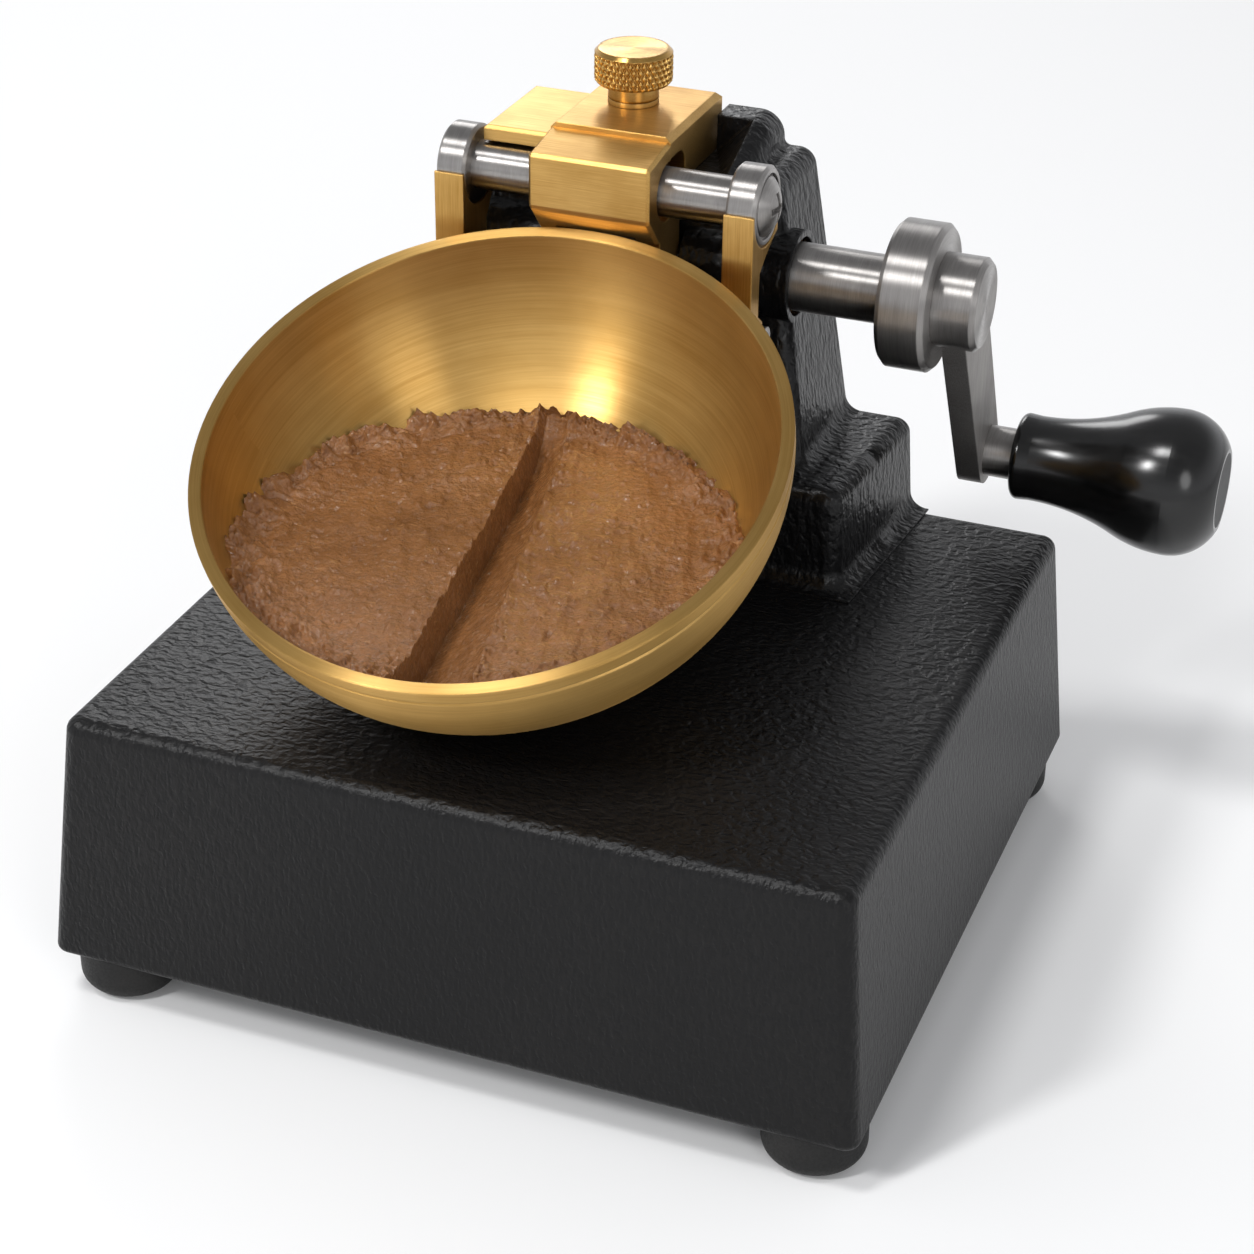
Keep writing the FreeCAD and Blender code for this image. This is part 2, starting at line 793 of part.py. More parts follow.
def bosses(body):
    """Round bosses on both cheeks, around the shaft, a little proud of the casting."""
    for way in (1, -1):
        drawing = new_sketch(body, "YZ_Plane", s.boss_start * way)
        ring(drawing, s.shaft_back, shaft_height, s.shaft_diameter / 2 + s.boss_wall)
        pad(body, drawing, tower_side - s.boss_start, back=way < 0)


def carriage_way(body, rear):
    """Open channel across the head for the carriage, its right wall leaning out to a ridge,
    the seat of the carriage's wing, and the threaded hole of the thumb screw."""
    half = block_half + s.way_gap
    floor = way_floor
    high = head_height + 2
    way = new_sketch(body, "XZ_Plane", -rear - 1)
    draw(way, rectangle(-half, floor, half, high))
    cut(body, way, s.base_depth)
    wing = new_sketch(body, "XZ_Plane", -rear - 1)
    draw(wing, rectangle(-head_width, wing_low - s.carriage_gap, -block_half, high))
    cut(body, wing, s.base_depth)
    slope_back = rear - s.tower_rear_lean - s.head_flat
    drop = head_height - head_front_height
    rise = head_height - floor
    above = high - head_height
    far = draw(new_sketch(body, "XZ_Plane", -(slope_back + s.way_gap)), [
        (block_half, floor), (ridge - rise, floor), (ridge + above, high), (block_half, high)])
    close = draw(new_sketch(body, "XZ_Plane", -(s.tower_top_front + s.head_front_setback)), [
        (block_half, floor), (ridge - rise + drop, floor), (ridge + above, high - drop),
        (block_half, high - drop)])
    loft(body, far, close, away=True)
    thread = new_sketch(body, "XY_Plane", floor)
    ring(thread, -s.thumb_side, s.thumb_back, s.thumb_stud_diameter / 2 + s.thumb_thread_gap)
    cut(body, thread, floor - shaft_height - cam_room + 1, back=True)


def shaft_bores(body):
    """Pocket for the cam, open to the front, with the shaft's bores through both cheeks."""
    pocket = new_sketch(body, "YZ_Plane")
    draw(pocket, rectangle(0, shaft_height - cam_room, s.shaft_back + cam_room,
                           shaft_height + cam_room))
    cut(body, pocket, 2 * pocket_half, both=True)
    narrow = new_sketch(body, "YZ_Plane")
    ring(narrow, s.shaft_back, shaft_height, s.shaft_core_diameter / 2 + s.bush_wall)
    cut(body, narrow, 2 * tower_side + 1, both=True)
    wide = new_sketch(body, "YZ_Plane", s.shaft_step - 1)
    ring(wide, s.shaft_back, shaft_height, s.shaft_diameter / 2 + s.bush_wall)
    cut(body, wide, tower_side)
    sunk = new_sketch(body, "YZ_Plane", -sunk_end)
    ring(sunk, s.shaft_back, shaft_height, s.end_washer_diameter / 2 + s.end_washer_gap)
    cut(body, sunk, s.end_sink + 1, back=True)
    bolts = new_sketch(body, "XY_Plane")
    for x, y in column_bolt_places():
        ring(bolts, x + s.mechanism_shift, y, s.column_bolt / 2)
    cut(body, bolts, s.column_bolt_depth)


def shaft_bushes():
    """Bronze bushes pressed into the shaft's bores, below the faces of the bosses."""
    for label, turn, shaft, end in (
            ("shaft_bush_right", 0, s.shaft_diameter, tower_side - s.bush_recess),
            ("shaft_bush_left", 180, s.shaft_core_diameter, sunk_end)):
        inner = shaft / 2 + s.shaft_fit
        outer = shaft / 2 + s.bush_wall
        start = end - s.bush_length
        bush = turned_bar(label, [(start, inner), (end, inner), (end, outer), (start, outer)])
        place_in_mechanism(bush, 0, s.shaft_back, shaft_height, (0, 0, 1), turn)


def cup_outside():
    """Outline of the cup's outside from its axis to its mouth: the ball arc and the side arc,
    with a fine turned line under the mouth. Corners are (radius, height from the mouth)."""
    ball = s.cup_ball_radius + s.cup_wall
    side = s.cup_side_radius + s.cup_wall
    meet_out = ball * cup_arc_offset / cup_arc_gap
    meet_down = cup_ball_rise - ball * cup_ball_rise / cup_arc_gap
    low = s.cup_line_drop + s.cup_line_width
    low_radius = cup_arc_offset + root(side * side - low * low)
    high = s.cup_line_drop
    high_radius = cup_arc_offset + root(side * side - high * high)
    return [(0, cup_ball_rise - ball, ball, 1), (meet_out, meet_down, side, 1),
            (low_radius, -low), (low_radius - s.cup_line_depth, -(low + high) / 2),
            (high_radius, -high, side, 1), (s.cup_mouth_radius + s.cup_wall, 0)]


def cup_inside(gap):
    """Outline of the cup's hollow from mouth to axis, drawn in by a gap."""
    ball = s.cup_ball_radius - gap
    side = s.cup_side_radius - gap
    meet_out = ball * cup_arc_offset / cup_arc_gap
    meet_down = cup_ball_rise - ball * cup_ball_rise / cup_arc_gap
    return [(s.cup_mouth_radius - gap, 0, side, -1), (meet_out, meet_down, ball, -1),
            (0, cup_ball_rise - ball)]


def cup():
    """Spun brass cup: an even wall between two pairs of arcs, open at the tilted mouth."""
    body = turned_piece("cup", cup_outside() + cup_inside(0))
    place_with_cup(body)


def soil():
    """Soil pat in the cup: filled to a sloping plane and parted by a groove cut from back to
    front, with a steep left bank and a sloping right bank."""
    reach = 2 * s.cup_mouth_radius
    lean = tangent(s.soil_slope - s.cup_tilt)
    point_y, point_z = tilted(-s.soil_surface_front, s.soil_surface_height)
    middle_z = point_z - point_y * lean
    near_z, far_z = middle_z - reach * lean, middle_z + reach * lean
    left_turn, right_turn = tangent(s.soil_left_turn), tangent(s.soil_right_turn)
    for label in ("soil_left", "soil_right"):
        inside = cup_inside(s.soil_gap)
        body = turned_piece(label, [(0, 0)] + inside)
        over = new_sketch(body, "YZ_Plane")
        draw(over, [(-reach, near_z), (reach, far_z), (reach, reach), (-reach, reach)])
        cut(body, over, 2 * reach, both=True)
        edge = new_sketch(body, "XY_Plane", -reach)
        if label == "soil_left":
            draw(edge, [(reach * left_turn - s.soil_groove_left, -reach), (reach, -reach),
                        (reach, reach), (-reach * left_turn - s.soil_groove_left, reach)])
            cut(body, edge, 2 * reach)
        else:
            start = s.soil_split - s.soil_groove_left
            draw(edge, [(reach * left_turn + start, -reach), (-reach, -reach),
                        (-reach, reach), (-reach * left_turn + start, reach)])
            cut(body, edge, 2 * reach)
            ends = []
            for way, height in ((-1, near_z), (1, far_z)):
                left = -way * reach * left_turn - s.soil_groove_left
                right = s.soil_groove_right - way * reach * right_turn
                over_left = height + s.soil_groove_depth
                # Behind the cup the two edges would cross, so there one follows the other
                if way > 0:
                    right = left + s.soil_groove_depth
                ends.append(draw(new_sketch(body, "XZ_Plane", -way * reach), [
                    (left, height - s.soil_groove_depth), (right, height),
                    (right, over_left), (left, over_left)]))
            loft(body, ends[0], ends[1], away=True)
        place_with_cup(body)


def arm(label, way, depth):
    """Flat brass arm under one knuckle: it cradles the knuckle, narrows, and widens to a heel
    that takes the two screws of the hanger."""
    body = new_body(label)
    radius = s.knuckle_diameter / 2
    front = s.rod_back - s.arm_front
    rod, high = s.rod_back, s.rod_height
    rise = s.arm_seat_rise
    back = s.arm_cheek_back
    cheek = high - root(radius * radius - back * back)
    heel = s.rod_back - s.hanger_back
    drop = high - s.arm_bottom
    depth_back = front + depth
    outline = [
        (front, drop), (front, high + rise),
        (rod - root(radius * radius - rise * rise), high + rise, radius, 1),
        (rod + back, cheek), (rod + back + s.arm_cheek_lip, high - s.arm_cheek_drop,
                              s.arm_cheek_round, 1),
        (depth_back, high - s.arm_waist_drop),
        (depth_back, drop + s.arm_heel_rise + s.arm_heel_slope), (heel, drop + s.arm_heel_rise),
        (heel, drop)]
    drawing = draw(new_sketch(body, "YZ_Plane", way * s.arm_spread / 2), outline)
    pad(body, drawing, s.arm_width, back=way < 0)
    holes = new_sketch(body, "YZ_Plane", way * s.arm_spread / 2)
    for place_y, place_z in arm_screw_places():
        ring(holes, place_y, place_z, s.arm_screw / 2)
    cut(body, holes, s.arm_width + 1, back=way < 0)
    place_in_mechanism(body, 0, 0, 0)


def arm_screw_places():
    """Screws that hold the heels of the arms to the hanger's ends, in the side view."""
    y = s.rod_back - s.arm_screw_back
    z = s.rod_height - s.arm_screw_low
    return [(y, z), (y, z + s.arm_screw_pitch)]


def hanger():
    """Cross bar behind the cup, hollowed to bear on its outside, with a seat for the cam's
    follower and threaded ends for the arms. Drawn in the tilted frame of the cup's mouth."""
    body = new_body("cup_hanger")
    front = s.rod_back - s.hanger_front
    back = s.rod_back - s.hanger_back
    low = s.rod_height - s.arm_bottom
    high = low + s.hanger_height
    corners = [tilted(front, low), tilted(back, low), tilted(back, high), tilted(front, high)]
    pad(body, draw(new_sketch(body, "YZ_Plane"), corners), s.arm_spread, both=True)
    groove = draw(new_sketch(body, "XZ_Plane"), [(0, 0)] + cup_outside()[:2] +
                  [(s.cup_mouth_radius + s.cup_wall, 0)])
    before = solid_of(body).Volume
    revolve(body, groove, turned=True)
    if solid_of(body).Volume > before - 1:
        raise RuntimeError("the hollow of the hanger takes nothing away")
    seat = new_sketch(body, "YZ_Plane")
    inset = back - s.follower_inset
    foot = high - s.follower_height
    draw(seat, [tilted(inset, foot), tilted(back + 1, foot), tilted(back + 1, high + 1),
                tilted(inset, high + 1)])
    cut(body, seat, s.follower_width, both=True)
    holes = new_sketch(body, "YZ_Plane", -s.arm_spread)
    for place_y, place_z in arm_screw_places():
        y, z = tilted(place_y, place_z)
        ring(holes, y, z, s.arm_screw / 2)
    depth = s.arm_screw_length - s.arm_width + 1
    ends = new_sketch(body, "YZ_Plane", s.arm_spread / 2 - depth)
    for place_y, place_z in arm_screw_places():
        y, z = tilted(place_y, place_z)
        ring(ends, y, z, s.arm_screw / 2)
    cut(body, holes, s.arm_spread / 2 + depth)
    cut(body, ends, depth + 1)
    place_with_cup(body)


def follower():
    """Hardened pad let into the hanger's back, where the cam pushes."""
    body = new_body("cam_follower")
    back = s.rod_back - s.hanger_back
    high = s.rod_height - s.arm_bottom + s.hanger_height
    cam_front = s.shaft_back - s.cam_low - s.cam_rise
    face = cam_front - s.carriage_travel - s.follower_gap
    outline = rectangle(back - s.follower_inset, high - s.follower_height, face, high)
    pad(body, draw(new_sketch(body, "YZ_Plane"), outline), s.follower_width, both=True)
    place_in_mechanism(body, 0, 0, 0)


def hinge_line():
    """Rod through the hinge block with a knuckle and a domed screw at each end."""
    half = s.arm_spread / 2 + s.arm_width
    inner, outer = s.rod_diameter / 2 + s.rod_fit, s.knuckle_diameter / 2
    edge = s.knuckle_edge
    recess = s.knuckle_recess_diameter / 2
    seat = half - s.knuckle_recess
    for label, turn in (("knuckle_right", 0), ("knuckle_left", 180)):
        body = turned_bar(label, [
            (s.arm_spread / 2, inner), (s.arm_spread / 2, outer - edge),
            (s.arm_spread / 2 + edge, outer), (half - edge, outer), (half, outer - edge),
            (half, recess), (seat, recess), (seat, inner)])
        place_in_mechanism(body, 0, s.rod_back, s.rod_height, (0, 0, 1), turn)
    rod, thread = s.rod_diameter / 2, s.rod_screw / 2
    bottom = seat - s.rod_screw_length
    body = turned_bar("hinge_rod", [
        (-bottom, 0), (-bottom, thread), (-seat, thread), (-seat, rod), (seat, rod),
        (seat, thread), (bottom, thread), (bottom, 0)])
    place_in_mechanism(body, 0, s.rod_back, s.rod_height)
    rod_screws(seat)


def rod_screws(seat):
    """Two identical screws with domed heads and cross recesses, one in each end of the rod."""
    head, dome, rim = s.rod_screw_head / 2, s.rod_screw_dome, s.rod_screw_rim
    arc = (head * head + dome * dome) / (2 * dome)
    top = rim + dome
    screw = doc.addObject("PartDesign::Body", "rod_screw")
    outline = [(-s.rod_screw_length, 0), (top, 0, arc, 1), (rim, head), (0, head),
               (0, s.rod_screw / 2), (-s.rod_screw_length, s.rod_screw / 2)]
    revolve(screw, draw(new_sketch(screw, "XZ_Plane"), outline), along="H_Axis")
    wide, long = s.rod_screw_cross_width / 2, s.rod_screw_cross / 2
    cross = [(-wide, -long), (wide, -long), (wide, -wide), (long, -wide), (long, wide),
             (wide, wide), (wide, long), (-wide, long), (-wide, wide), (-long, wide),
             (-long, -wide), (-wide, -wide)]
    drawing = draw(new_sketch(screw, "YZ_Plane", top - s.rod_screw_cross_depth), cross)
    cut(screw, drawing, s.rod_screw_cross_depth + 1)
    place_in_mechanism(screw, seat, s.rod_back, s.rod_height)
    mirror = doc.addObject("Part::Mirroring", "rod_screw_mirror")
    mirror.Source = screw
    mirror.Normal = FreeCAD.Vector(1, 0, 0)
    mirror.setExpression("Base.x", middle_x.text)
    group = doc.addObject("Part::Compound", "rod_screws")
    group.Links = [screw, mirror]
    keep(group, "rod_screws")


def arm_screws():
    """Four identical screws through the heels of the arms into the hanger."""
    out = s.arm_spread / 2 + s.arm_width + s.arm_screw_head_height
    places = []
    for way in (1, -1):
        for y, z in arm_screw_places():
            places.append((middle_x + way * out, origin_y + y, base_top + z, way * -90))
    screw_set("arm_screws", places, s.arm_screw, s.arm_screw_head, s.arm_screw_head_height,
              s.arm_screw_length, (0, 1, 0))


def hinge_block():
    """Brass block that carries the hinge rod, with two ears below that straddle the cam."""
    body = new_body("hinge_block")
    half = s.block_width / 2
    rod, high = s.rod_back, s.rod_height
    outline = [
        (rod - s.block_front, high - s.block_front_low),
        (rod - s.block_front, high + s.block_front_high),
        (rod + s.block_back, high + s.block_top_rise),
        (rod + s.block_back, high - s.block_shelf_drop),
        (rod + s.ear_back, high - s.block_shelf_drop), (rod + s.ear_back, high - s.ear_low),
        (rod - s.ear_front, high - s.ear_low), (rod - s.ear_front, high - s.block_throat_low),
        (rod - s.block_throat_front, high - s.block_throat_low)]
    pad(body, draw(new_sketch(body, "YZ_Plane"), outline), s.block_width, both=True)
    side = half.value
    front = (rod - s.block_front).value
    top = (high + s.block_front_high).value
    dress(body, "Chamfer", lambda p, t, e: p.z > top - 12 and
          (near(abs(p.x), side) or (abs(t.x) > 0.9 and p.z > top - 0.1) or
           (abs(t.x) > 0.9 and near(p.y, front))) and p.y < front + 9, s.block_edge)
    slot = new_sketch(body, "XZ_Plane", -(rod + s.ear_back + 1))
    throat = half - s.ear_thickness
    draw(slot, rectangle(-throat, high - s.ear_low - 1, throat, high - s.ear_root))
    cut(body, slot, s.ear_back + s.block_front + 2)
    bore = new_sketch(body, "YZ_Plane")
    ring(bore, rod, high, hinge_bush)
    cut(body, bore, s.block_width + 1, both=True)
    holes = new_sketch(body, "XZ_Plane", -(rod + s.block_back + 1))
    for x in block_screw_places():
        ring(holes, x, high + s.block_screw_rise, s.block_screw / 2)
    cut(body, holes, s.block_screw_grip + 1.5)
    place_in_mechanism(body, 0, 0, 0)
    for label, turn in (("hinge_bush_right", 0), ("hinge_bush_left", 180)):
        end = half - s.hinge_bush_recess
        inner = s.rod_diameter / 2 + s.rod_running_gap
        start = end - s.hinge_bush_length
        body = turned_bar(label, [
            (start, inner), (end, inner), (end, hinge_bush), (start, hinge_bush)])
        place_in_mechanism(body, 0, rod, high, (0, 0, 1), turn)


def block_screw_places():
    return [-s.block_screw_spacing / 2, s.block_screw_spacing / 2]


def clamp_block():
    """Brass block in the channel of the head, slotted for the thumb screw, arched in front."""
    body = new_body("clamp_block")
    half = s.block_width / 2
    arch_radius = hinge_bush + s.arch_gap
    arch = s.rod_height + root(arch_radius * arch_radius - s.block_back * s.block_back)
    arch_back = s.rod_back + s.arch_back
    outline = [(arch_back, clamp_low), (clamp_rear, clamp_low), (clamp_rear, clamp_top),
               (clamp_front, clamp_top), (clamp_front, arch),
               (arch_back - s.arch_round, arch, s.arch_round, -1),
               (arch_back, arch - s.arch_round)]
    pad(body, draw(new_sketch(body, "YZ_Plane"), outline), s.block_width, both=True)
    high, side = clamp_top.value, half.value
    dress(body, "Chamfer", lambda p, t, e: near(p.z, high) and
          (near(abs(p.x), side) or near(p.y, clamp_rear)), s.clamp_block_edge)
    radius, travel = s.thumb_stud_diameter / 2 + s.thumb_slot_gap, s.carriage_travel
    left, right = -s.thumb_side - radius, radius - s.thumb_side
    slot = draw(new_sketch(body, "XY_Plane", clamp_top), [
        (right, s.thumb_back - travel), (right, s.thumb_back + travel, radius * HALF_CIRCLE, 1),
        (left, s.thumb_back + travel), (left, s.thumb_back - travel, radius * HALF_CIRCLE, 1)])
    cut(body, slot, s.clamp_block_top + s.clamp_block_depth, back=True)
    screws = new_sketch(body, "XZ_Plane", -clamp_rear - 1)
    wells = new_sketch(body, "XZ_Plane", -clamp_rear - 1)
    level = s.rod_height + s.block_screw_rise
    for x in block_screw_places():
        ring(screws, x, level, s.block_screw / 2)
        ring(wells, x, level, s.block_screw_head / 2 + s.well_gap)
    cut(body, screws, s.clamp_block_depth + 2)
    cut(body, wells, s.block_screw_well + 1)
    sides = new_sketch(body, "YZ_Plane", -half - 1)
    for y in wing_screw_places():
        ring(sides, y, wing_low + s.wing_thickness / 2, s.block_screw / 2)
    cut(body, sides, s.wing_screw_grip + s.screw_tip_gap + 1)
    place_in_mechanism(body, 0, 0, 0)
    shank = s.clamp_block_depth - s.block_screw_well + s.block_screw_grip
    start = clamp_rear - s.block_screw_well + s.block_screw_head_height
    places = [(middle_x + x, origin_y + start, base_top + level, 90)
              for x in block_screw_places()]
    screw_set("block_screws", places, s.block_screw, s.block_screw_head,
              s.block_screw_head_height, shank)


def wing_screw_places():
    first = s.rod_back + s.wing_screw_back
    return [first, first + s.wing_screw_spacing]


def side_plate():
    """Wing of the carriage that rides on the left part of the head and arches over the rod."""
    body = new_body("side_plate")
    half = s.block_width / 2
    front = s.rod_back - s.wing_front
    top = s.rod_height + s.wing_top
    drawing = new_sketch(body, "YZ_Plane", -half)
    draw(drawing, rectangle(front, wing_low, front + s.wing_depth, top))
    pad(body, drawing, wing_width, back=True)
    dress(body, "Chamfer", lambda p, t, e: near(p.z, top) and not near(p.x, -half), s.block_edge)
    groove = new_sketch(body, "YZ_Plane", -half)
    ring(groove, s.rod_back, s.rod_height, s.rod_diameter / 2 + s.wing_rod_gap)
    cut(body, groove, wing_width + 1, back=True)
    level = wing_low + s.wing_thickness / 2
    outside = -half - wing_width
    holes = new_sketch(body, "YZ_Plane", outside - 1)
    wells = new_sketch(body, "YZ_Plane", outside - 1)
    for y in wing_screw_places():
        ring(holes, y, level, s.block_screw / 2)
        ring(wells, y, level, s.wing_screw_head / 2 + s.well_gap / 2)
    cut(body, holes, wing_width + 2)
    cut(body, wells, s.wing_screw_head_height + s.wing_screw_sink + 1)
    place_in_mechanism(body, 0, 0, 0)
    start = outside + s.wing_screw_sink
    shank = wing_width - s.wing_screw_sink - s.wing_screw_head_height + s.wing_screw_grip
    places = [(middle_x + start, origin_y + y, base_top + level, 90)
              for y in wing_screw_places()]
    screw_set("side_plate_screws", places, s.block_screw, s.wing_screw_head,
              s.wing_screw_head_height, shank, (0, 1, 0))


def thumb_screw():
    """Knurled screw that clamps the carriage, with the loose washer under its neck."""
    neck, head = s.thumb_neck_diameter / 2, s.thumb_head_diameter / 2
    stud = s.thumb_stud_diameter / 2
    low, high = s.thumb_neck_height, s.thumb_neck_height + s.thumb_head_height
    edge, under = s.thumb_head_edge, s.thumb_under_edge
    seat = washer_low + s.washer_thickness + s.washer_seat_gap
    body = turned_piece("thumb_screw", [
        (0, -s.thumb_stud_length), (stud, -s.thumb_stud_length), (stud, 0), (neck, 0),
        (neck, low), (head - under, low), (head, low + under), (head, high - edge),
        (head - edge, high), (0, high)])
    place_in_mechanism(body, -s.thumb_side, s.thumb_back, seat)
    inner, outer = stud + s.washer_bore_gap, s.washer_diameter / 2
    body = turned_piece("clamp_washer", [
        (inner, 0), (outer, 0), (outer, s.washer_thickness), (inner, s.washer_thickness)])
    place_in_mechanism(body, -s.thumb_side, s.thumb_back, washer_low)


def crankshaft():
    """Stepped shaft: thick outside and in the right cheek, thin through cam and left cheek."""
    left = sunk_end + s.end_gap
    thin, thick = s.shaft_core_diameter / 2, s.shaft_diameter / 2
    tip, thread = s.shaft_end_diameter / 2, s.end_screw / 2
    bottom = left - s.end_screw_length
    body = turned_bar("crankshaft", [
        (-bottom, 0), (-bottom, thread), (-left, thread), (-left, thin), (s.shaft_step, thin),
        (s.shaft_step, thick), (crank_face - s.crank_thickness, thick),
        (crank_face - s.crank_thickness, tip), (crank_face, tip), (crank_face, 0)])
    pin = new_sketch(body, "XY_Plane")
    ring(pin, 0, 0, s.cam_pin / 2)
    cut(body, pin, s.shaft_diameter, both=True)
    place_in_mechanism(body, 0, s.shaft_back, shaft_height, (1, 0, 0), s.crank_angle)
    washer, gap = s.end_washer_diameter / 2, s.end_washer_thickness
    body = turned_bar("end_washer", [(-left - gap, thread), (-left - gap, washer),
                                     (-left, washer), (-left, thread)])
    place_in_mechanism(body, 0, s.shaft_back, shaft_height)
    start = -left - gap - s.end_screw_head_height
    places = [(middle_x + start, origin_y + s.shaft_back, base_top + shaft_height, 90)]
    screw_set("end_screw", places, s.end_screw, s.end_screw_head, s.end_screw_head_height,
              s.end_screw_length, (0, 1, 0))


def cam():
    """Snail cam pinned to the thin part of the shaft: it rises all the way round and drops
    within a short angle."""
    body = new_body("cam")
    count = 12
    step = (360 - s.cam_drop_angle) / count
    corners = []
    for index in range(count + 1):
        radius = s.cam_low + s.cam_rise * (index / count)
        angle = step * index + 90
        point = (radius * cosine(angle), radius * sine(angle))
        if index < count:
            middle = s.cam_low + s.cam_rise * ((index + 0.5) / count)
            point = point + (middle, 1)
        corners.append(point)
    pad(body, draw(new_sketch(body, "YZ_Plane"), corners), s.cam_width, both=True)
    bore = new_sketch(body, "YZ_Plane")
    ring(bore, 0, 0, s.shaft_core_diameter / 2 + s.seat_fit)
    cut(body, bore, s.cam_width + 1, both=True)
    pin = new_sketch(body, "XY_Plane")
    ring(pin, 0, 0, s.cam_pin / 2)
    cut(body, pin, 4 * s.cam_low, both=True)
    place_in_mechanism(body, 0, s.shaft_back, shaft_height, (1, 0, 0), s.crank_angle)
    pin = turned_piece("cam_pin", [
        (0, -s.cam_pin_length / 2), (s.cam_pin / 2, -s.cam_pin_length / 2),
        (s.cam_pin / 2, s.cam_pin_length / 2), (0, s.cam_pin_length / 2)])
    place_in_mechanism(pin, 0, s.shaft_back, shaft_height, (1, 0, 0), s.crank_angle)


def collar_and_hub():
    """Stop collar with its grub screw, and the hub slotted for the crank arm."""
    shaft = s.shaft_diameter / 2 + s.seat_fit
    outer, edge, wide = s.collar_diameter / 2, s.collar_edge, s.collar_width
    body = turned_bar("stop_collar", [
        (0, shaft), (0, outer - edge), (edge, outer), (wide - edge, outer),
        (wide, outer - edge), (wide, shaft)])
    hole = new_sketch(body, "XY_Plane")
    ring(hole, wide / 2, 0, s.collar_screw / 2)
    cut(body, hole, s.collar_diameter, back=True)
    place_in_mechanism(body, collar_place, s.shaft_back, shaft_height)
    screw = doc.addObject("Part::Cylinder", "collar_screw_body")
    bind(screw, Radius=s.collar_screw / 2, Height=s.collar_screw_length)
    socket = doc.addObject("Part::Prism", "collar_screw_socket")
    socket.Polygon = 6
    bind(socket, Circumradius=s.collar_screw * 0.28, Height=s.collar_screw_length)
    socket.setExpression("Placement.Base.z", (s.collar_screw_length * 0.5).text)
    grub = doc.addObject("Part::Cut", "collar_screw")
    grub.Base = screw
    grub.Tool = socket
    keep(grub, "collar_screw")
    place_in_mechanism(grub, collar_place + wide / 2, s.shaft_back, shaft_height - shaft,
                       (1, 0, 0), 180)
    outer, edge, long = s.hub_diameter / 2, s.hub_edge, s.hub_length
    tip = s.shaft_end_diameter / 2 + s.seat_fit
    slot = long - s.arm_setback - s.crank_thickness
    body = turned_bar("crank_hub", [
        (0, shaft), (0, outer), (long - edge, outer), (long, outer - edge), (long, 0),
        (long - s.arm_setback, 0), (long - s.arm_setback, tip), (slot, tip), (slot, shaft)])
    half = s.crank_top_width / 2
    arm_slot = draw(new_sketch(body, "YZ_Plane", slot), [
        (half, 0, half * 1.0001, 1), (-half, 0), (-half, -s.hub_diameter),
        (half, -s.hub_diameter)])
    cut(body, arm_slot, s.crank_thickness)
    place_in_mechanism(body, hub_place, s.shaft_back, shaft_height, (1, 0, 0), s.crank_angle)


def crank_arm():
    """Flat crank arm from the hub's slot to the handle, with round ends."""
    body = new_body("crank_arm")
    top, end = s.crank_top_width / 2, s.crank_end_width / 2
    long = crank_radius
    start = crank_face - s.crank_thickness
    outline = [(top, 0, top * 1.0001, 1), (-top, 0), (-end, -long, end * 1.0001, 1),
               (end, -long)]
    pad(body, draw(new_sketch(body, "YZ_Plane", start), outline), s.crank_thickness)
    holes = new_sketch(body, "YZ_Plane", start)
    ring(holes, 0, 0, s.shaft_end_diameter / 2 + s.seat_fit)
    ring(holes, 0, -long, s.spindle_diameter / 2)
    cut(body, holes, s.crank_thickness)
    place_in_mechanism(body, 0, s.shaft_back, shaft_height, (1, 0, 0), s.crank_angle)


def handle():
    """Spindle screwed into the crank arm, and the free grip that turns on it."""
    pin, shoulder, head = s.spindle_diameter / 2, s.spindle_shoulder / 2, s.spindle_head / 2
    first = crank_face - s.crank_thickness
    second = crank_face + s.spindle_shoulder_length
    long = s.grip_length
    cap_floor = long - s.grip_cap_thickness
    head_floor = cap_floor - s.spindle_head_height - 2 * s.grip_gap
    head_start = grip_place + head_floor + s.grip_gap
    head_end = head_start + s.spindle_head_height
    body = turned_bar("handle_spindle", [
        (first, 0), (first, pin), (crank_face, pin), (crank_face, shoulder), (second, shoulder),
        (second, pin), (head_start, pin), (head_start, head), (head_end, head), (head_end, 0)])
    place_in_mechanism(body, 0, handle_back, handle_height)
    neck, waist, bulb, join = s.grip_neck / 2, s.grip_waist / 2, s.grip_bulb / 2, s.grip_join / 2
    end, around = s.grip_end / 2, s.grip_neck_round
    place_b, place_j = s.grip_bulb_place, s.grip_join_place
    rise, run = bulb - join, place_b - place_j
    swell = (rise * rise + run * run) / (2 * rise)
    hollow = (join - waist) / (1 - (swell - rise) / swell)
    start = place_j - hollow * run / swell
    fall, tail = bulb - end, long - place_b
    nose = (fall * fall + tail * tail) / (2 * fall)
    bore = pin + s.grip_play
    well = head + s.grip_gap
    seat = s.grip_cap / 2
    outline = [
        (0, bore), (0, neck - around, around, -1), (around, neck), (start, waist, hollow, 1),
        (place_j, join, swell, -1), (place_b, bulb, nose, -1), (long, end), (long, seat),
        (cap_floor, seat), (cap_floor, well), (head_floor, well), (head_floor, bore)]
    body = turned_bar("handle_grip", outline)
    place_in_mechanism(body, grip_place, handle_back, handle_height)
    body = turned_bar("grip_cap", [
        (0, 0), (s.grip_cap_thickness, 0), (s.grip_cap_thickness, seat), (0, seat)])
    place_in_mechanism(body, grip_place + cap_floor, handle_back, handle_height)


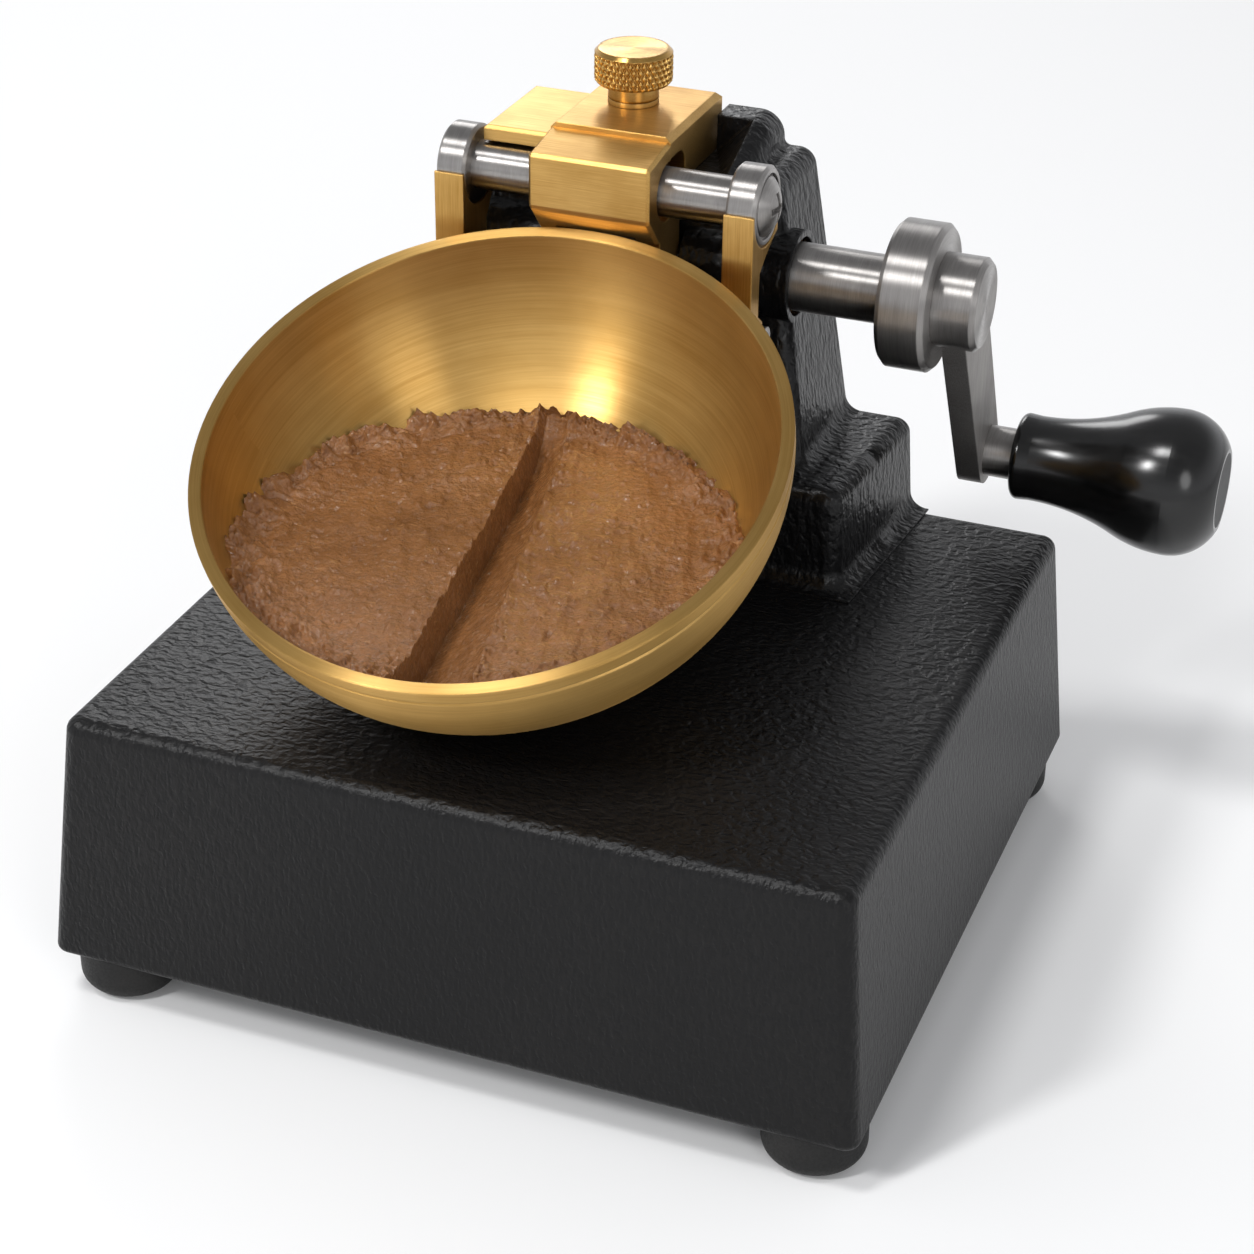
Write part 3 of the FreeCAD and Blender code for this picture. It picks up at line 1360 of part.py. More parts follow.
def check_and_write():
    """Recomputes, refuses any failed feature or shape, and writes one file for each piece."""
    doc.recompute()
    for thing in doc.Objects:
        if "Invalid" in thing.State or "Error" in thing.State:
            raise RuntimeError(f"{thing.Name} has failed: {thing.State}")
    os.makedirs("parts", exist_ok=True)
    for thing in pieces:
        if thing.Shape.isNull() or not thing.Shape.isValid() or not thing.Shape.Solids:
            raise RuntimeError(f"{thing.Label} has no valid solid")
        thing.Shape.exportStep(os.path.join("parts", thing.Label + ".step"))


write_sheet()
base_block()
feet()
fasteners_below()
column()
shaft_bushes()
cup()
soil()
hanger()
follower()
arm("right_arm", 1, s.right_arm_depth)
arm("left_arm", -1, s.left_arm_depth)
hinge_line()
arm_screws()
hinge_block()
clamp_block()
side_plate()
thumb_screw()
crankshaft()
cam()
collar_and_hub()
crank_arm()
handle()
check_and_write()
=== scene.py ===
import json
import math

import bpy
import numpy as np
from mathutils import Matrix, Vector


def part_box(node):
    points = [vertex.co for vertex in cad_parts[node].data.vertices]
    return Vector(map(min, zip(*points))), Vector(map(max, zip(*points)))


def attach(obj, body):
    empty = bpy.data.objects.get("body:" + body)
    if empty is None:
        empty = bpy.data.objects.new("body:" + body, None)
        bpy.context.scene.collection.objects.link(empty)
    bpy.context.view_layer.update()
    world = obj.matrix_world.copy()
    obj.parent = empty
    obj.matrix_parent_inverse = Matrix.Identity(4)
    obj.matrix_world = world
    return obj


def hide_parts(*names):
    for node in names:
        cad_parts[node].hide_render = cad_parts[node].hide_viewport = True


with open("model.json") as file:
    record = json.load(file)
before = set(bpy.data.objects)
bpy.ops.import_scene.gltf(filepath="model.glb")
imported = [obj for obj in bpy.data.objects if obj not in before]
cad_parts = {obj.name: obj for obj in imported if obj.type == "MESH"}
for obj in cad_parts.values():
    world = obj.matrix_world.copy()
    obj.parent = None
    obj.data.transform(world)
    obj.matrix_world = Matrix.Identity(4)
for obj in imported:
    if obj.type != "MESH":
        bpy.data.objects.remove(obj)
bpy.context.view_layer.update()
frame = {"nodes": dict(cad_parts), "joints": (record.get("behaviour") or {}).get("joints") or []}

MM = 0.001
FULL_TURN = 2 * math.pi


def joint_point(name):
    """The point a hinge turns about, in metres."""
    for joint in frame["joints"]:
        if joint["name"] == name:
            return list(joint["pos_m"])
    raise KeyError(name)


# Places that the dressing shares with the frame, in metres
HINGE = joint_point("cup_hinge")
SHAFT = joint_point("crank_turn")
HANDLE = joint_point("grip_spin")
THUMB = joint_point("thumb_turn")
BASE_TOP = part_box("base_block")[1][2]
CUP_TILT = math.radians(24.2)
CUP_MOUTH = [HINGE[0], HINGE[1] - 47.9 * MM, BASE_TOP + 38.06 * MM]

# Turns that bring a turned piece's axis to Z
AXIS_Z = (0.0, 0.0, 0.0)
AXIS_X = (0.0, -math.pi / 2, 0.0)
AXIS_CUP = (-CUP_TILT, 0.0, 0.0)

# Scratches lie along the tangent, and light spreads across them: a quarter turn of the lobe
ACROSS = 0.25

# Camera: a lens in millimetres, its turns in degrees, and its place from the cup's hinge
LENS, SENSOR = 81.85, 36.0
CAMERA_TURNS = (20.865, 29.618, 0.739)
CAMERA_FROM_HINGE = (0.1565, -0.3993, 0.1626)

# Soft boxes: direction they stand in, width and height in metres, watts
SOFT_BOXES = {
    "key": ((-0.4, -0.62, 0.68), (0.16, 0.3), 6.5),
    "overhead": ((-0.21, -0.3, 0.93), (0.24, 0.3), 5.0),
    "rear": ((-0.45, 0.8, 0.48), (0.5, 0.4), 2.6),
    "front": ((0.75, -0.75, 0.5), (0.5, 0.6), 2.5),
}
BOX_AIM, BOX_DISTANCE = (0.0, 0.0, 0.06), 1.3
FLOOR_HALF = 3.0


def linear(colour):
    """Linear rgba of an sRGB hex colour such as 8a6a3b."""
    out = []
    for place in (0, 2, 4):
        value = int(colour[place:place + 2], 16) / 255
        out.append(value / 12.92 if value <= 0.04045 else ((value + 0.055) / 1.055) ** 2.4)
    return out + [1.0]


class Shader:
    """Builds one material: add() makes a node, sets its sockets and returns an output."""

    def __init__(self, name):
        self.material = bpy.data.materials.new(name)
        self.material.use_nodes = True
        self.tree = self.material.node_tree
        self.tree.nodes.clear()
        self.output = self.tree.nodes.new("ShaderNodeOutputMaterial")

    def feed(self, socket, value):
        """Links an output to the socket, or sets its constant."""
        if isinstance(value, bpy.types.NodeSocket):
            self.tree.links.new(value, socket)
        elif value is not None:
            socket.default_value = value

    def add(self, kind, inputs=None, out=0, **settings):
        node = self.tree.nodes.new("ShaderNode" + kind)
        for key, value in settings.items():
            setattr(node, key, value)
        for key, value in (inputs or {}).items():
            self.feed(node.inputs[key], value)
        return node.outputs[out]

    def math(self, operation, a, b=None, c=None):
        inputs = {0: a}
        if b is not None:
            inputs[1] = b
        if c is not None:
            inputs[2] = c
        return self.add("Math", inputs, operation=operation)

    def vector(self, operation, a, b=None, out=0):
        inputs = {0: a}
        if b is not None:
            inputs[1] = b
        return self.add("VectorMath", inputs, out=out, operation=operation)

    def point(self):
        """Object coordinates: metres in the row frame, riding with the piece."""
        return self.add("TexCoord", out="Object")

    def part(self, vector, place):
        """One of the three parts of a vector."""
        return self.add("SeparateXYZ", {0: vector}, out=place)

    def scaled(self, point, across):
        return self.vector("MULTIPLY", point, across)

    def even(self, point, length):
        """Coordinates that grow by 1 over a length in metres, the same every way."""
        return self.scaled(point, (1 / length,) * 3)

    def noise(self, point, detail=2.0, rough=0.5, out=0):
        return self.add("TexNoise", {"Vector": point, "Scale": 1.0, "Detail": detail,
                                     "Roughness": rough}, out=out)

    def ramp(self, value, low, high, to_low=0.0, to_high=1.0):
        return self.add("MapRange", {"Value": value, "From Min": low, "From Max": high,
                                     "To Min": to_low, "To Max": to_high})

    def about(self, value, middle, swing):
        """middle plus or minus half the swing, from a value of 0 to 1."""
        return self.math("MULTIPLY_ADD", self.math("SUBTRACT", value, 0.5), swing, middle)

    def mix(self, factor, a, b):
        node = self.tree.nodes.new("ShaderNodeMix")
        node.data_type = "RGBA"
        self.feed(node.inputs[0], factor)
        self.feed(node.inputs[6], a)
        self.feed(node.inputs[7], b)
        return node.outputs[2]

    def bump(self, height, distance, normal=None):
        """A bump whose height socket runs 0 to 1 over the given distance in metres."""
        return self.add("Bump", {"Height": height, "Distance": distance, "Normal": normal})

    def broken_edge(self, radius):
        """A normal that rounds the edges by a radius in metres, as a broken edge does."""
        return self.add("Bevel", {"Radius": radius}, samples=4)

    def surface(self, **inputs):
        """The principled shader as the material's surface. Sockets by name, _ for a space."""
        shader = self.add("BsdfPrincipled",
                          {key.replace("_", " "): value for key, value in inputs.items()})
        self.tree.links.new(shader, self.output.inputs["Surface"])
        return self.material

    def turned(self, centre, euler):
        """Cylinder coordinates about a turned piece's axis: the euler turn brings that axis to
        Z. Returns (radius, angle, height, direction of turning in world space)."""
        moved = self.vector("SUBTRACT", self.point(), centre)
        local = self.add("VectorRotate", {"Vector": moved, "Rotation": euler},
                         rotation_type="EULER_XYZ")
        x, y, z = (self.part(local, place) for place in range(3))
        radius = self.math("SQRT", self.math("ADD", self.math("MULTIPLY", x, x),
                                             self.math("MULTIPLY", y, y)))
        angle = self.math("ARCTAN2", y, x)
        around = self.add("CombineXYZ", {0: self.math("MULTIPLY", y, -1.0), 1: x, 2: 0.0})
        back = self.add("VectorRotate", {"Vector": around, "Rotation": euler},
                        rotation_type="EULER_XYZ", invert=True)
        world = self.add("VectorTransform", {0: back}, vector_type="VECTOR",
                         convert_from="OBJECT", convert_to="WORLD")
        return radius, angle, z, self.vector("NORMALIZE", world)


# Metals. Two tones each: clean metal, and metal dulled by handling
BRASS = ("d3ac69", "ab8343")
STEEL = ("aba8a5", "858280")
BRONZE = ("a87a42", "8d6233")


def turned_metal(name, centre, euler, colours, rough, pitch, edge=0.3 * MM, spread=0.9):
    """Metal turned on a lathe and rubbed with abrasive while it spun: fine rings around its
    axis, pitch metres apart, with broader bands of slightly different tone. The light fans out
    across the rings, so highlights run from rim to centre, and lengthwise on a bar."""
    s = Shader(name)
    radius, angle, height, tangent = s.turned(centre, euler)

    def rings(share, twist):
        place = {0: s.math("MULTIPLY", radius, share / pitch),
                 1: s.math("MULTIPLY", angle, twist),
                 2: s.math("MULTIPLY", height, share / pitch)}
        return s.noise(s.add("CombineXYZ", place), detail=3.0, rough=0.6)

    fine, bands = rings(1.0, 2.0), rings(0.12, 0.8)
    cloudy = s.noise(s.even(s.point(), 16 * MM), detail=3.0)
    tone = s.math("ADD", s.ramp(bands, 0.3, 0.7, 0.0, 0.35), s.ramp(fine, 0.3, 0.7, 0.0, 0.35))
    tone = s.math("ADD", tone, s.ramp(cloudy, 0.35, 0.65, 0.0, 0.3))
    return s.surface(Base_Color=s.mix(tone, linear(colours[0]), linear(colours[1])),
                     Metallic=1.0, Roughness=s.about(fine, rough, rough * 0.4),
                     Anisotropic=spread, Anisotropic_Rotation=ACROSS, Tangent=tangent,
                     Normal=s.bump(fine, 0.0012 * MM, s.broken_edge(edge)))


def brushed_metal(name, colours, rough, along, line=0.16 * MM, edge=0.35 * MM, spread=0.6):
    """Metal drawn over a belt: fine straight scratches along one direction, with a cloudy tone
    from handling, and edges broken with a file."""
    s = Shader(name)
    stretch = [1 / line if part == 0 else 0.02 / line for part in along]
    lines = s.noise(s.scaled(s.point(), stretch), detail=3.0, rough=0.6)
    cloudy = s.noise(s.even(s.point(), 11 * MM), detail=3.0)
    tone = s.math("ADD", s.ramp(lines, 0.3, 0.7, 0.0, 0.55), s.ramp(cloudy, 0.35, 0.65, 0.0, 0.45))
    tangent = s.add("VectorTransform", {0: along}, vector_type="VECTOR",
                    convert_from="OBJECT", convert_to="WORLD")
    return s.surface(Base_Color=s.mix(tone, linear(colours[0]), linear(colours[1])),
                     Metallic=1.0, Roughness=s.about(lines, rough, rough * 0.6),
                     Anisotropic=spread, Anisotropic_Rotation=ACROSS, Tangent=tangent,
                     Normal=s.bump(lines, 0.003 * MM, s.broken_edge(edge)))


def wrinkles(s, point, size, stretch):
    """Height, 0 to about 1, of a net of rounded worm-like ridges: smooth cells on coordinates
    bent by noise, plus a softer swell. size is the ridges' spacing in metres."""
    stretched = s.scaled(point, [part / size for part in stretch])
    sway = s.noise(s.even(point, 2 * size), detail=2.0, out="Color")
    bent = s.vector("ADD", stretched, s.scaled(sway, (1.8, 1.8, 1.8)))
    cells = s.add("TexVoronoi", {"Vector": bent, "Scale": 1.0, "Smoothness": 0.6},
                  feature="SMOOTH_F1")
    swell = s.noise(bent, detail=2.0, rough=0.45)
    return s.math("ADD", s.math("MULTIPLY", cells, 0.55), s.math("MULTIPLY", swell, 0.6))


def casting_paint(name, colours, top, side, rough, ior):
    """Black wrinkle finish, which shrinks as it cures. On level faces it pools into ridges that
    lie along X, and on upright faces it runs down before it sets, so the ridges there are long
    and upright. top and side are (spacing, relief) in metres."""
    s = Shader(name)
    point = s.point()
    level = s.ramp(s.math("ABSOLUTE", s.part(s.add("TexCoord", out="Normal"), 2)), 0.5, 0.8)
    pooled = wrinkles(s, point, top[0], (0.6, 1.0, 1.0))
    run = wrinkles(s, point, side[0], (1.1, 1.1, 0.42))
    grain = s.noise(s.even(point, top[0] / 6), detail=2.0)
    # Painted highlight: the crests of the wrinkles get the lighter second colour, in broad random
    # patches.
    crest_highlight_patches = s.ramp(s.noise(s.even(point, 40 * MM), detail=3.0), 0.3, 0.7)
    height = s.add("Mix", {0: level, 2: run, 3: pooled}, data_type="FLOAT")
    tone = s.math("MULTIPLY", s.ramp(height, 0.4, 0.9), crest_highlight_patches)
    rounded = s.broken_edge(0.5 * MM)
    down = s.bump(run, side[1], rounded)
    flat = s.bump(pooled, top[1], rounded)
    normal = s.add("Mix", {0: level, 4: down, 5: flat}, out=1, data_type="VECTOR")
    normal = s.bump(grain, 0.012 * MM, s.vector("NORMALIZE", normal))
    return s.surface(Base_Color=s.mix(tone, linear(colours[0]), linear(colours[1])),
                     Roughness=s.about(grain, rough, 0.2), IOR=ior, Normal=normal)


def moulded_rubber(name):
    """Moulded rubber foot: matt black with a faint mould bloom."""
    s = Shader(name)
    point = s.point()
    grain = s.noise(s.even(point, 0.4 * MM), detail=2.0)
    bloom = s.ramp(s.noise(s.even(point, 8 * MM), detail=3.0), 0.35, 0.7)
    return s.surface(Base_Color=s.mix(bloom, linear("0d0d0d"), linear("181716")), IOR=1.4,
                     Roughness=s.ramp(grain, 0.3, 0.7, 0.5, 0.7), Normal=s.bump(grain, 0.04 * MM))


def buffed_phenolic(name, rough, ior):
    """Phenolic resin, moulded and buffed: deep black with a soft polish and faint scuffs that
    run along the grip."""
    s = Shader(name)
    point = s.point()
    scuffs = s.noise(s.scaled(point, (160.0, 900.0, 900.0)), detail=3.0)
    wave = s.noise(s.even(point, 14 * MM), detail=1.0)
    return s.surface(Base_Color=s.mix(s.ramp(scuffs, 0.4, 0.8), linear("050505"),
                                      linear("0c0c0c")),
                     Roughness=s.about(scuffs, rough, 0.1), IOR=ior,
                     Normal=s.bump(wave, 0.04 * MM))


def wet_clay_soil(name):
    """Clay soil worked with water on a glass plate: a paste with crumbs and small pits, under a
    film of water that glints."""
    s = Shader(name)
    point = s.point()
    grain = s.noise(s.even(point, 0.5 * MM), detail=3.0, rough=0.55)
    lumps = s.noise(s.even(point, 2.4 * MM), detail=4.0, rough=0.55)
    broad = s.noise(s.even(point, 15 * MM), detail=3.0)
    fibres = s.noise(s.scaled(point, (500.0, 1500.0, 900.0)), detail=2.0)
    pits = s.add("TexVoronoi", {"Vector": s.even(point, 1.6 * MM), "Scale": 1.0})
    tone = s.math("ADD", s.ramp(broad, 0.3, 0.7, 0.0, 0.5), s.ramp(lumps, 0.3, 0.7, 0.0, 0.5))
    colour = s.mix(tone, linear("6f451f"), linear("946131"))
    colour = s.mix(s.ramp(grain, 0.55, 0.75, 0.0, 0.4), colour, linear("523217"))
    colour = s.mix(s.ramp(fibres, 0.64, 0.72, 0.0, 0.35), colour, linear("b98a58"))
    height = s.math("ADD", s.math("MULTIPLY", lumps, 0.8), s.math("MULTIPLY", grain, 0.5))
    height = s.math("MULTIPLY_ADD", s.ramp(pits, 0.0, 0.3), 0.3, height)
    height = s.math("MULTIPLY_ADD", fibres, 0.25, height)
    beads = s.noise(s.even(point, 0.9 * MM), detail=2.0)
    film = s.bump(s.math("MULTIPLY_ADD", lumps, 0.5, beads), 0.9 * MM)
    return s.surface(Base_Color=colour, Roughness=s.ramp(lumps, 0.35, 0.65, 0.45, 0.65),
                     Coat_Weight=s.ramp(broad, 0.3, 0.6, 0.5, 1.0), Coat_Roughness=0.06,
                     Coat_IOR=1.5, IOR=1.4, Normal=s.bump(height, 0.5 * MM), Coat_Normal=film)


def mesh_piece(name, points, faces, material):
    """A smooth-shaded mesh object at the origin from arrays of points and quads."""
    mesh = bpy.data.meshes.new(name)
    mesh.vertices.add(len(points))
    mesh.vertices.foreach_set("co", np.asarray(points, np.float32).ravel())
    mesh.loops.add(faces.size)
    mesh.loops.foreach_set("vertex_index", np.asarray(faces, np.int32).ravel())
    mesh.polygons.add(len(faces))
    mesh.polygons.foreach_set("loop_start", np.arange(0, faces.size, 4, dtype=np.int32))
    mesh.polygons.foreach_set("use_smooth", np.ones(len(faces), dtype=bool))
    mesh.update(calc_edges=True)
    mesh.validate()
    mesh.materials.append(material)
    thing = bpy.data.objects.new(name, mesh)
    bpy.context.scene.collection.objects.link(thing)
    return thing


def grid_faces(rows, columns, closed=False):
    """Quads of a grid of points stored row by row; closed joins the last column to the first."""
    r = np.arange(rows - 1)[:, None]
    c = np.arange(columns if closed else columns - 1)[None, :]
    after = (c + 1) % columns
    corners = [r * columns + c, r * columns + after, (r + 1) * columns + after,
               (r + 1) * columns + c]
    return np.stack([np.broadcast_to(k, (rows - 1, c.size)) for k in corners], -1).reshape(-1, 4)


def smooth_noise(x, y, seed):
    """Value noise: random numbers on a whole-number lattice, blended between lattice points by
    3t^2 - 2t^3. Returns values from 0 to 1."""
    table = np.random.default_rng(seed).random((64, 64))
    xi, yi = np.floor(x).astype(int), np.floor(y).astype(int)
    tx, ty = x - xi, y - yi
    tx, ty = tx * tx * (3 - 2 * tx), ty * ty * (3 - 2 * ty)
    a, b = table[xi % 64, yi % 64], table[(xi + 1) % 64, yi % 64]
    c, d = table[xi % 64, (yi + 1) % 64], table[(xi + 1) % 64, (yi + 1) % 64]
    return (a * (1 - tx) + b * tx) * (1 - ty) + (c * (1 - tx) + d * tx) * ty


def rough_noise(x, y, seed, octaves=4):
    """Sum of value noises, each at twice the frequency and half the height, about 0."""
    total = np.zeros_like(x)
    for k in range(octaves):
        total += (smooth_noise(x * 2 ** k + 7 * k, y * 2 ** k + 3 * k, seed + k) - 0.5) / 2 ** k
    return total


# Soil surface, in millimetres from the middle of the cup's mouth in the tilted mouth frame
SOIL_POINT = (-14.75, -13.06)
SOIL_LEAN = math.tan(math.radians(7.1) - CUP_TILT)
GROOVE_LEFT, GROOVE_LEFT_SLOPE = -3.45, -math.tan(math.radians(5.8))
GROOVE_RIGHT, GROOVE_RIGHT_SLOPE = 4.3, -math.tan(math.radians(10.6))
GROOVE_DEPTH, GROOVE_FADE, BANK_WIDTH = 6.0, 10.0, 0.9
SOIL_ROWS, SOIL_REACH, IN_THE_WALL = 310, 60, 1.0
SWELL, CRUMB, PIT, CLOD, TATTER, LIP = 12.0, 1.1, 1.7, 3.0, 1.6, 0.9
CUP_BALL, CUP_BALL_RISE, CUP_SIDE, CUP_SIDE_OUT, CUP_MEET = 54.0, 20.0, 29.0, 15.0, -23.2


def cup_radius(z):
    """Inside radius of the cup at a height z below its mouth: the side arc about a circle, then
    the ball arc with its centre above the mouth."""
    side = CUP_SIDE_OUT + np.sqrt(np.maximum(CUP_SIDE ** 2 - z ** 2, 0))
    ball = np.sqrt(np.maximum(CUP_BALL ** 2 - (z - CUP_BALL_RISE) ** 2, 0))
    return np.where(z > CUP_MEET, side, ball)


def soil_height(y):
    return SOIL_POINT[1] + SOIL_LEAN * (y - SOIL_POINT[0])


def soil_columns(y, half):
    """The x of each column of the soil's grid: from the left wall to the groove's left edge,
    down its steep bank, up the sloping bank, and on to the right wall."""
    left = np.clip(GROOVE_LEFT + GROOVE_LEFT_SLOPE * y, -half, half)
    right = np.clip(GROOVE_RIGHT + GROOVE_RIGHT_SLOPE * y, -half, half)
    foot = np.minimum(left + BANK_WIDTH, (left + right) / 2)
    spans = []
    for start, end, count in ((-half, left, 132), (left, foot, 20), (foot, right, 30),
                              (right, half, 132)):
        share = np.linspace(0, 1, count + (end is half))[:count if end is not half else None]
        spans.append(start[:, None] + (end - start)[:, None] * share[None, :])
    return np.concatenate(spans, axis=1), left[:, None], foot[:, None], right[:, None]


def soil_surface():
    """Top of the soil pat as a grid of rows from the cup's back to its front. The height is the
    sloping plane, plus swells, smears and crumbs, plus clods that grow towards the wall, less
    the groove, whose depth fades at its back end. The border lies 1 mm inside the brass. The
    named spacings are the noises' lattice steps in millimetres."""
    ys = np.linspace(-SOIL_REACH, SOIL_REACH, 4001)
    inside = cup_radius(soil_height(ys)) - np.abs(ys)
    y_low, y_high = ys[inside > 0][0] - 0.8, ys[inside > 0][-1] + 0.8
    sweep = np.sin(np.linspace(-math.pi / 2, math.pi / 2, SOIL_ROWS))
    y = (y_low + y_high) / 2 + (y_high - y_low) / 2 * sweep
    radius = cup_radius(soil_height(y)) + IN_THE_WALL
    x, left, foot, right = soil_columns(y, np.sqrt(np.maximum(radius ** 2 - y ** 2, 0.05)))
    yy = np.repeat(y[:, None], x.shape[1], axis=1)
    wall = np.hypot(x, yy) / (cup_radius(soil_height(yy)) + IN_THE_WALL)
    bank = np.clip((x - left) / np.maximum(foot - left, 0.05), 0, 1)
    slope = np.clip((right - x) / np.maximum(right - foot, 0.05), 0, 1)
    in_groove = np.minimum(bank, slope)
    fade = np.clip((y_high - yy - IN_THE_WALL) / GROOVE_FADE, 0, 1) ** 0.8
    fade = fade * np.clip((right - left) / 7.0, 0, 1)
    swells = rough_noise(x / SWELL + 40, yy / SWELL + 40, 3, 3)
    smears = rough_noise((x + 0.4 * yy) / 2.2 + 10, (yy - 0.4 * x) / 9.0 + 30, 9, 3) * 0.5
    crumbs = np.maximum(rough_noise(x / CRUMB + 20, yy / CRUMB + 50, 15, 2) - 0.26, 0) * 1.5
    pits = np.maximum(rough_noise(x / PIT + 70, yy / PIT + 20, 27, 2) - 0.34, 0) * 1.6
    ring = np.clip((wall - 0.8) / 0.16, 0, 1)
    clods = np.maximum(rough_noise(x / CLOD + 60, yy / CLOD + 60, 21), -0.15)
    ragged = np.abs(rough_noise(x / TATTER + 33, yy / TATTER + 12, 41, 3))
    height = soil_height(yy) - GROOVE_DEPTH * fade * np.minimum(bank, slope ** 0.85)
    height += (swells + smears + crumbs - pits) * (1 - 0.8 * in_groove)
    height += ring * (0.7 + 3.6 * clods + 2.4 * ragged) * (1 - 0.6 * in_groove)
    for edge in (left, right):
        lip = np.exp(-((x - edge) / LIP) ** 2)
        height += lip * (0.25 + 1.4 * rough_noise(x / 1.4, yy / 1.4, 33, 3))
    return np.stack([x, yy, height], -1)


def from_mouth(points):
    """Points in millimetres of the tilted mouth frame, as metres in the row frame: a turn of
    the tilt about X, then a shift to the middle of the mouth."""
    turn = np.array([[1, 0, 0], [0, math.cos(CUP_TILT), -math.sin(CUP_TILT)],
                     [0, math.sin(CUP_TILT), math.cos(CUP_TILT)]])
    return points.reshape(-1, 3) @ turn.T * MM + np.array(CUP_MOUTH)


def build_soil(material):
    """The soil pat in the cup, standing for both halves of the frame's pat."""
    points = soil_surface()
    faces = grid_faces(points.shape[0], points.shape[1])
    pat = mesh_piece("soil_surface", from_mouth(points), faces, material)
    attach(pat, "cup_unit")
    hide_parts("soil_left", "soil_right")


# Thumb screw, in millimetres: (radius, height above its seat), with the knurled band apart
SCREW_TOP = [(0.0, 8.1), (5.75, 8.1), (6.35, 7.5)]
SCREW_BAND = (6.4, 7.35, 3.0)
SCREW_UNDER = [(5.9, 2.5), (4.15, 2.5), (4.15, 0.0), (2.0, 0.0), (2.0, -13.3), (0.0, -13.3)]
KNURL_TEETH, KNURL_PITCH, KNURL_DEPTH = 34, 1.9, 0.55
KNOB_COLUMNS = 24 * KNURL_TEETH


def straight_steps(corners, count):
    """Points that share out each straight line of an outline, ending at its last corner."""
    share = np.linspace(0, 1, count, endpoint=False)[:, None]
    lines = [np.array(a) + (np.array(b) - np.array(a)) * share
             for a, b in zip(corners[:-1], corners[1:])]
    return np.vstack(lines + [np.array(corners[-1:])])


def knurled_screw(material):
    """The thumb screw as a turned surface. In the band two sets of slanted grooves cross: the
    radius falls by depth * max(saw(turns + height / pitch)^2, saw(turns - height / pitch)^2),
    where turns counts teeth around and saw runs 1, 0, 1 over each tooth."""
    radius, top, low = SCREW_BAND
    band = np.column_stack([np.full(61, radius), np.linspace(top, low, 61)])
    profile = np.vstack([straight_steps(SCREW_TOP, 12), band, straight_steps(SCREW_UNDER, 6)])
    height = profile[:, 1][:, None]
    in_band = (height <= top) & (height >= low)
    angle = np.linspace(0, FULL_TURN, KNOB_COLUMNS, endpoint=False)[None, :]
    turns = angle * KNURL_TEETH / FULL_TURN
    cuts = [np.abs(((turns + way * height / KNURL_PITCH) % 1.0) * 2 - 1) ** 2 for way in (1, -1)]
    radius = profile[:, 0][:, None] - KNURL_DEPTH * np.maximum(*cuts) * in_band
    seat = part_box("thumb_screw")[1][2] - SCREW_TOP[0][1] * MM
    points = np.stack([THUMB[0] + radius * np.cos(angle) * MM,
                       THUMB[1] + radius * np.sin(angle) * MM,
                       np.broadcast_to(seat + height * MM, radius.shape)], -1)
    faces = grid_faces(len(profile), KNOB_COLUMNS, closed=True)[:, ::-1]
    screw = mesh_piece("knurled_screw", points.reshape(-1, 3), faces, material)
    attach(screw, "thumb")
    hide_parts("thumb_screw")


def paint(material, *names):
    """Gives one material to CAD nodes, whose shapes stay as they are."""
    for name in names:
        mesh = frame["nodes"][name].data
        mesh.materials.clear()
        mesh.materials.append(material)


def dress_frame():
    """The finishes of the frame's own pieces: moulded base, cast column, rubber feet, phenolic
    grip, spun and drawn brass, turned and drawn steel, and the bronze bushes."""
    # The second colour of each wrinkle paint is a painted highlight on the crests of its wrinkles.
    paint(casting_paint("base_wrinkle_paint", ("0d0d0e", "191818"), (1.0 * MM, 0.34 * MM),
                        (0.7 * MM, 0.22 * MM), 0.38, 1.3), "base_block")
    paint(casting_paint("column_wrinkle_paint", ("09090a", "141313"), (1.2 * MM, 0.42 * MM),
                        (1.15 * MM, 0.36 * MM), 0.32, 1.34), "column")
    paint(moulded_rubber("foot_rubber"), "front_left_foot", "front_right_foot",
          "rear_right_foot", "rear_left_foot")
    paint(buffed_phenolic("grip_phenolic", 0.2, 1.5), "handle_grip")
    paint(buffed_phenolic("cap_phenolic", 0.5, 1.35), "grip_cap")
    paint(turned_metal("spun_brass", CUP_MOUTH, AXIS_CUP, BRASS, 0.37, 0.3 * MM,
                       edge=0.6 * MM, spread=0.96), "cup")
    paint(brushed_metal("brushed_brass", BRASS, 0.38, (1.0, 0.0, 0.0)), "hinge_block",
          "clamp_block", "side_plate", "clamp_washer")
    paint(brushed_metal("arm_brass", BRASS, 0.38, (0.0, 0.0, 1.0)), "left_arm", "right_arm",
          "cup_hanger")
    paint(turned_metal("hinge_steel", HINGE, AXIS_X, STEEL, 0.36, 0.2 * MM), "hinge_rod",
          "knuckle_left", "knuckle_right", "rod_screws")
    paint(turned_metal("shaft_steel", SHAFT, AXIS_X, STEEL, 0.38, 0.2 * MM), "crankshaft",
          "stop_collar", "crank_hub", "end_washer", "end_screw", "cam")
    paint(turned_metal("spindle_steel", HANDLE, AXIS_X, STEEL, 0.38, 0.2 * MM),
          "handle_spindle")
    paint(brushed_metal("crank_steel", STEEL, 0.55, (0.0, 0.0, 1.0)), "crank_arm")
    paint(brushed_metal("brushed_steel", STEEL, 0.36, (0.0, 0.0, 1.0)), "cam_follower",
          "cam_pin", "collar_screw", "arm_screws", "foot_screws", "column_bolts",
          "block_screws", "side_plate_screws")
    paint(turned_metal("bush_bronze", SHAFT, AXIS_X, BRONZE, 0.3, 0.2 * MM),
          "shaft_bush_left", "shaft_bush_right")
    paint(turned_metal("hinge_bronze", HINGE, AXIS_X, BRONZE, 0.3, 0.2 * MM),
          "hinge_bush_left", "hinge_bush_right")


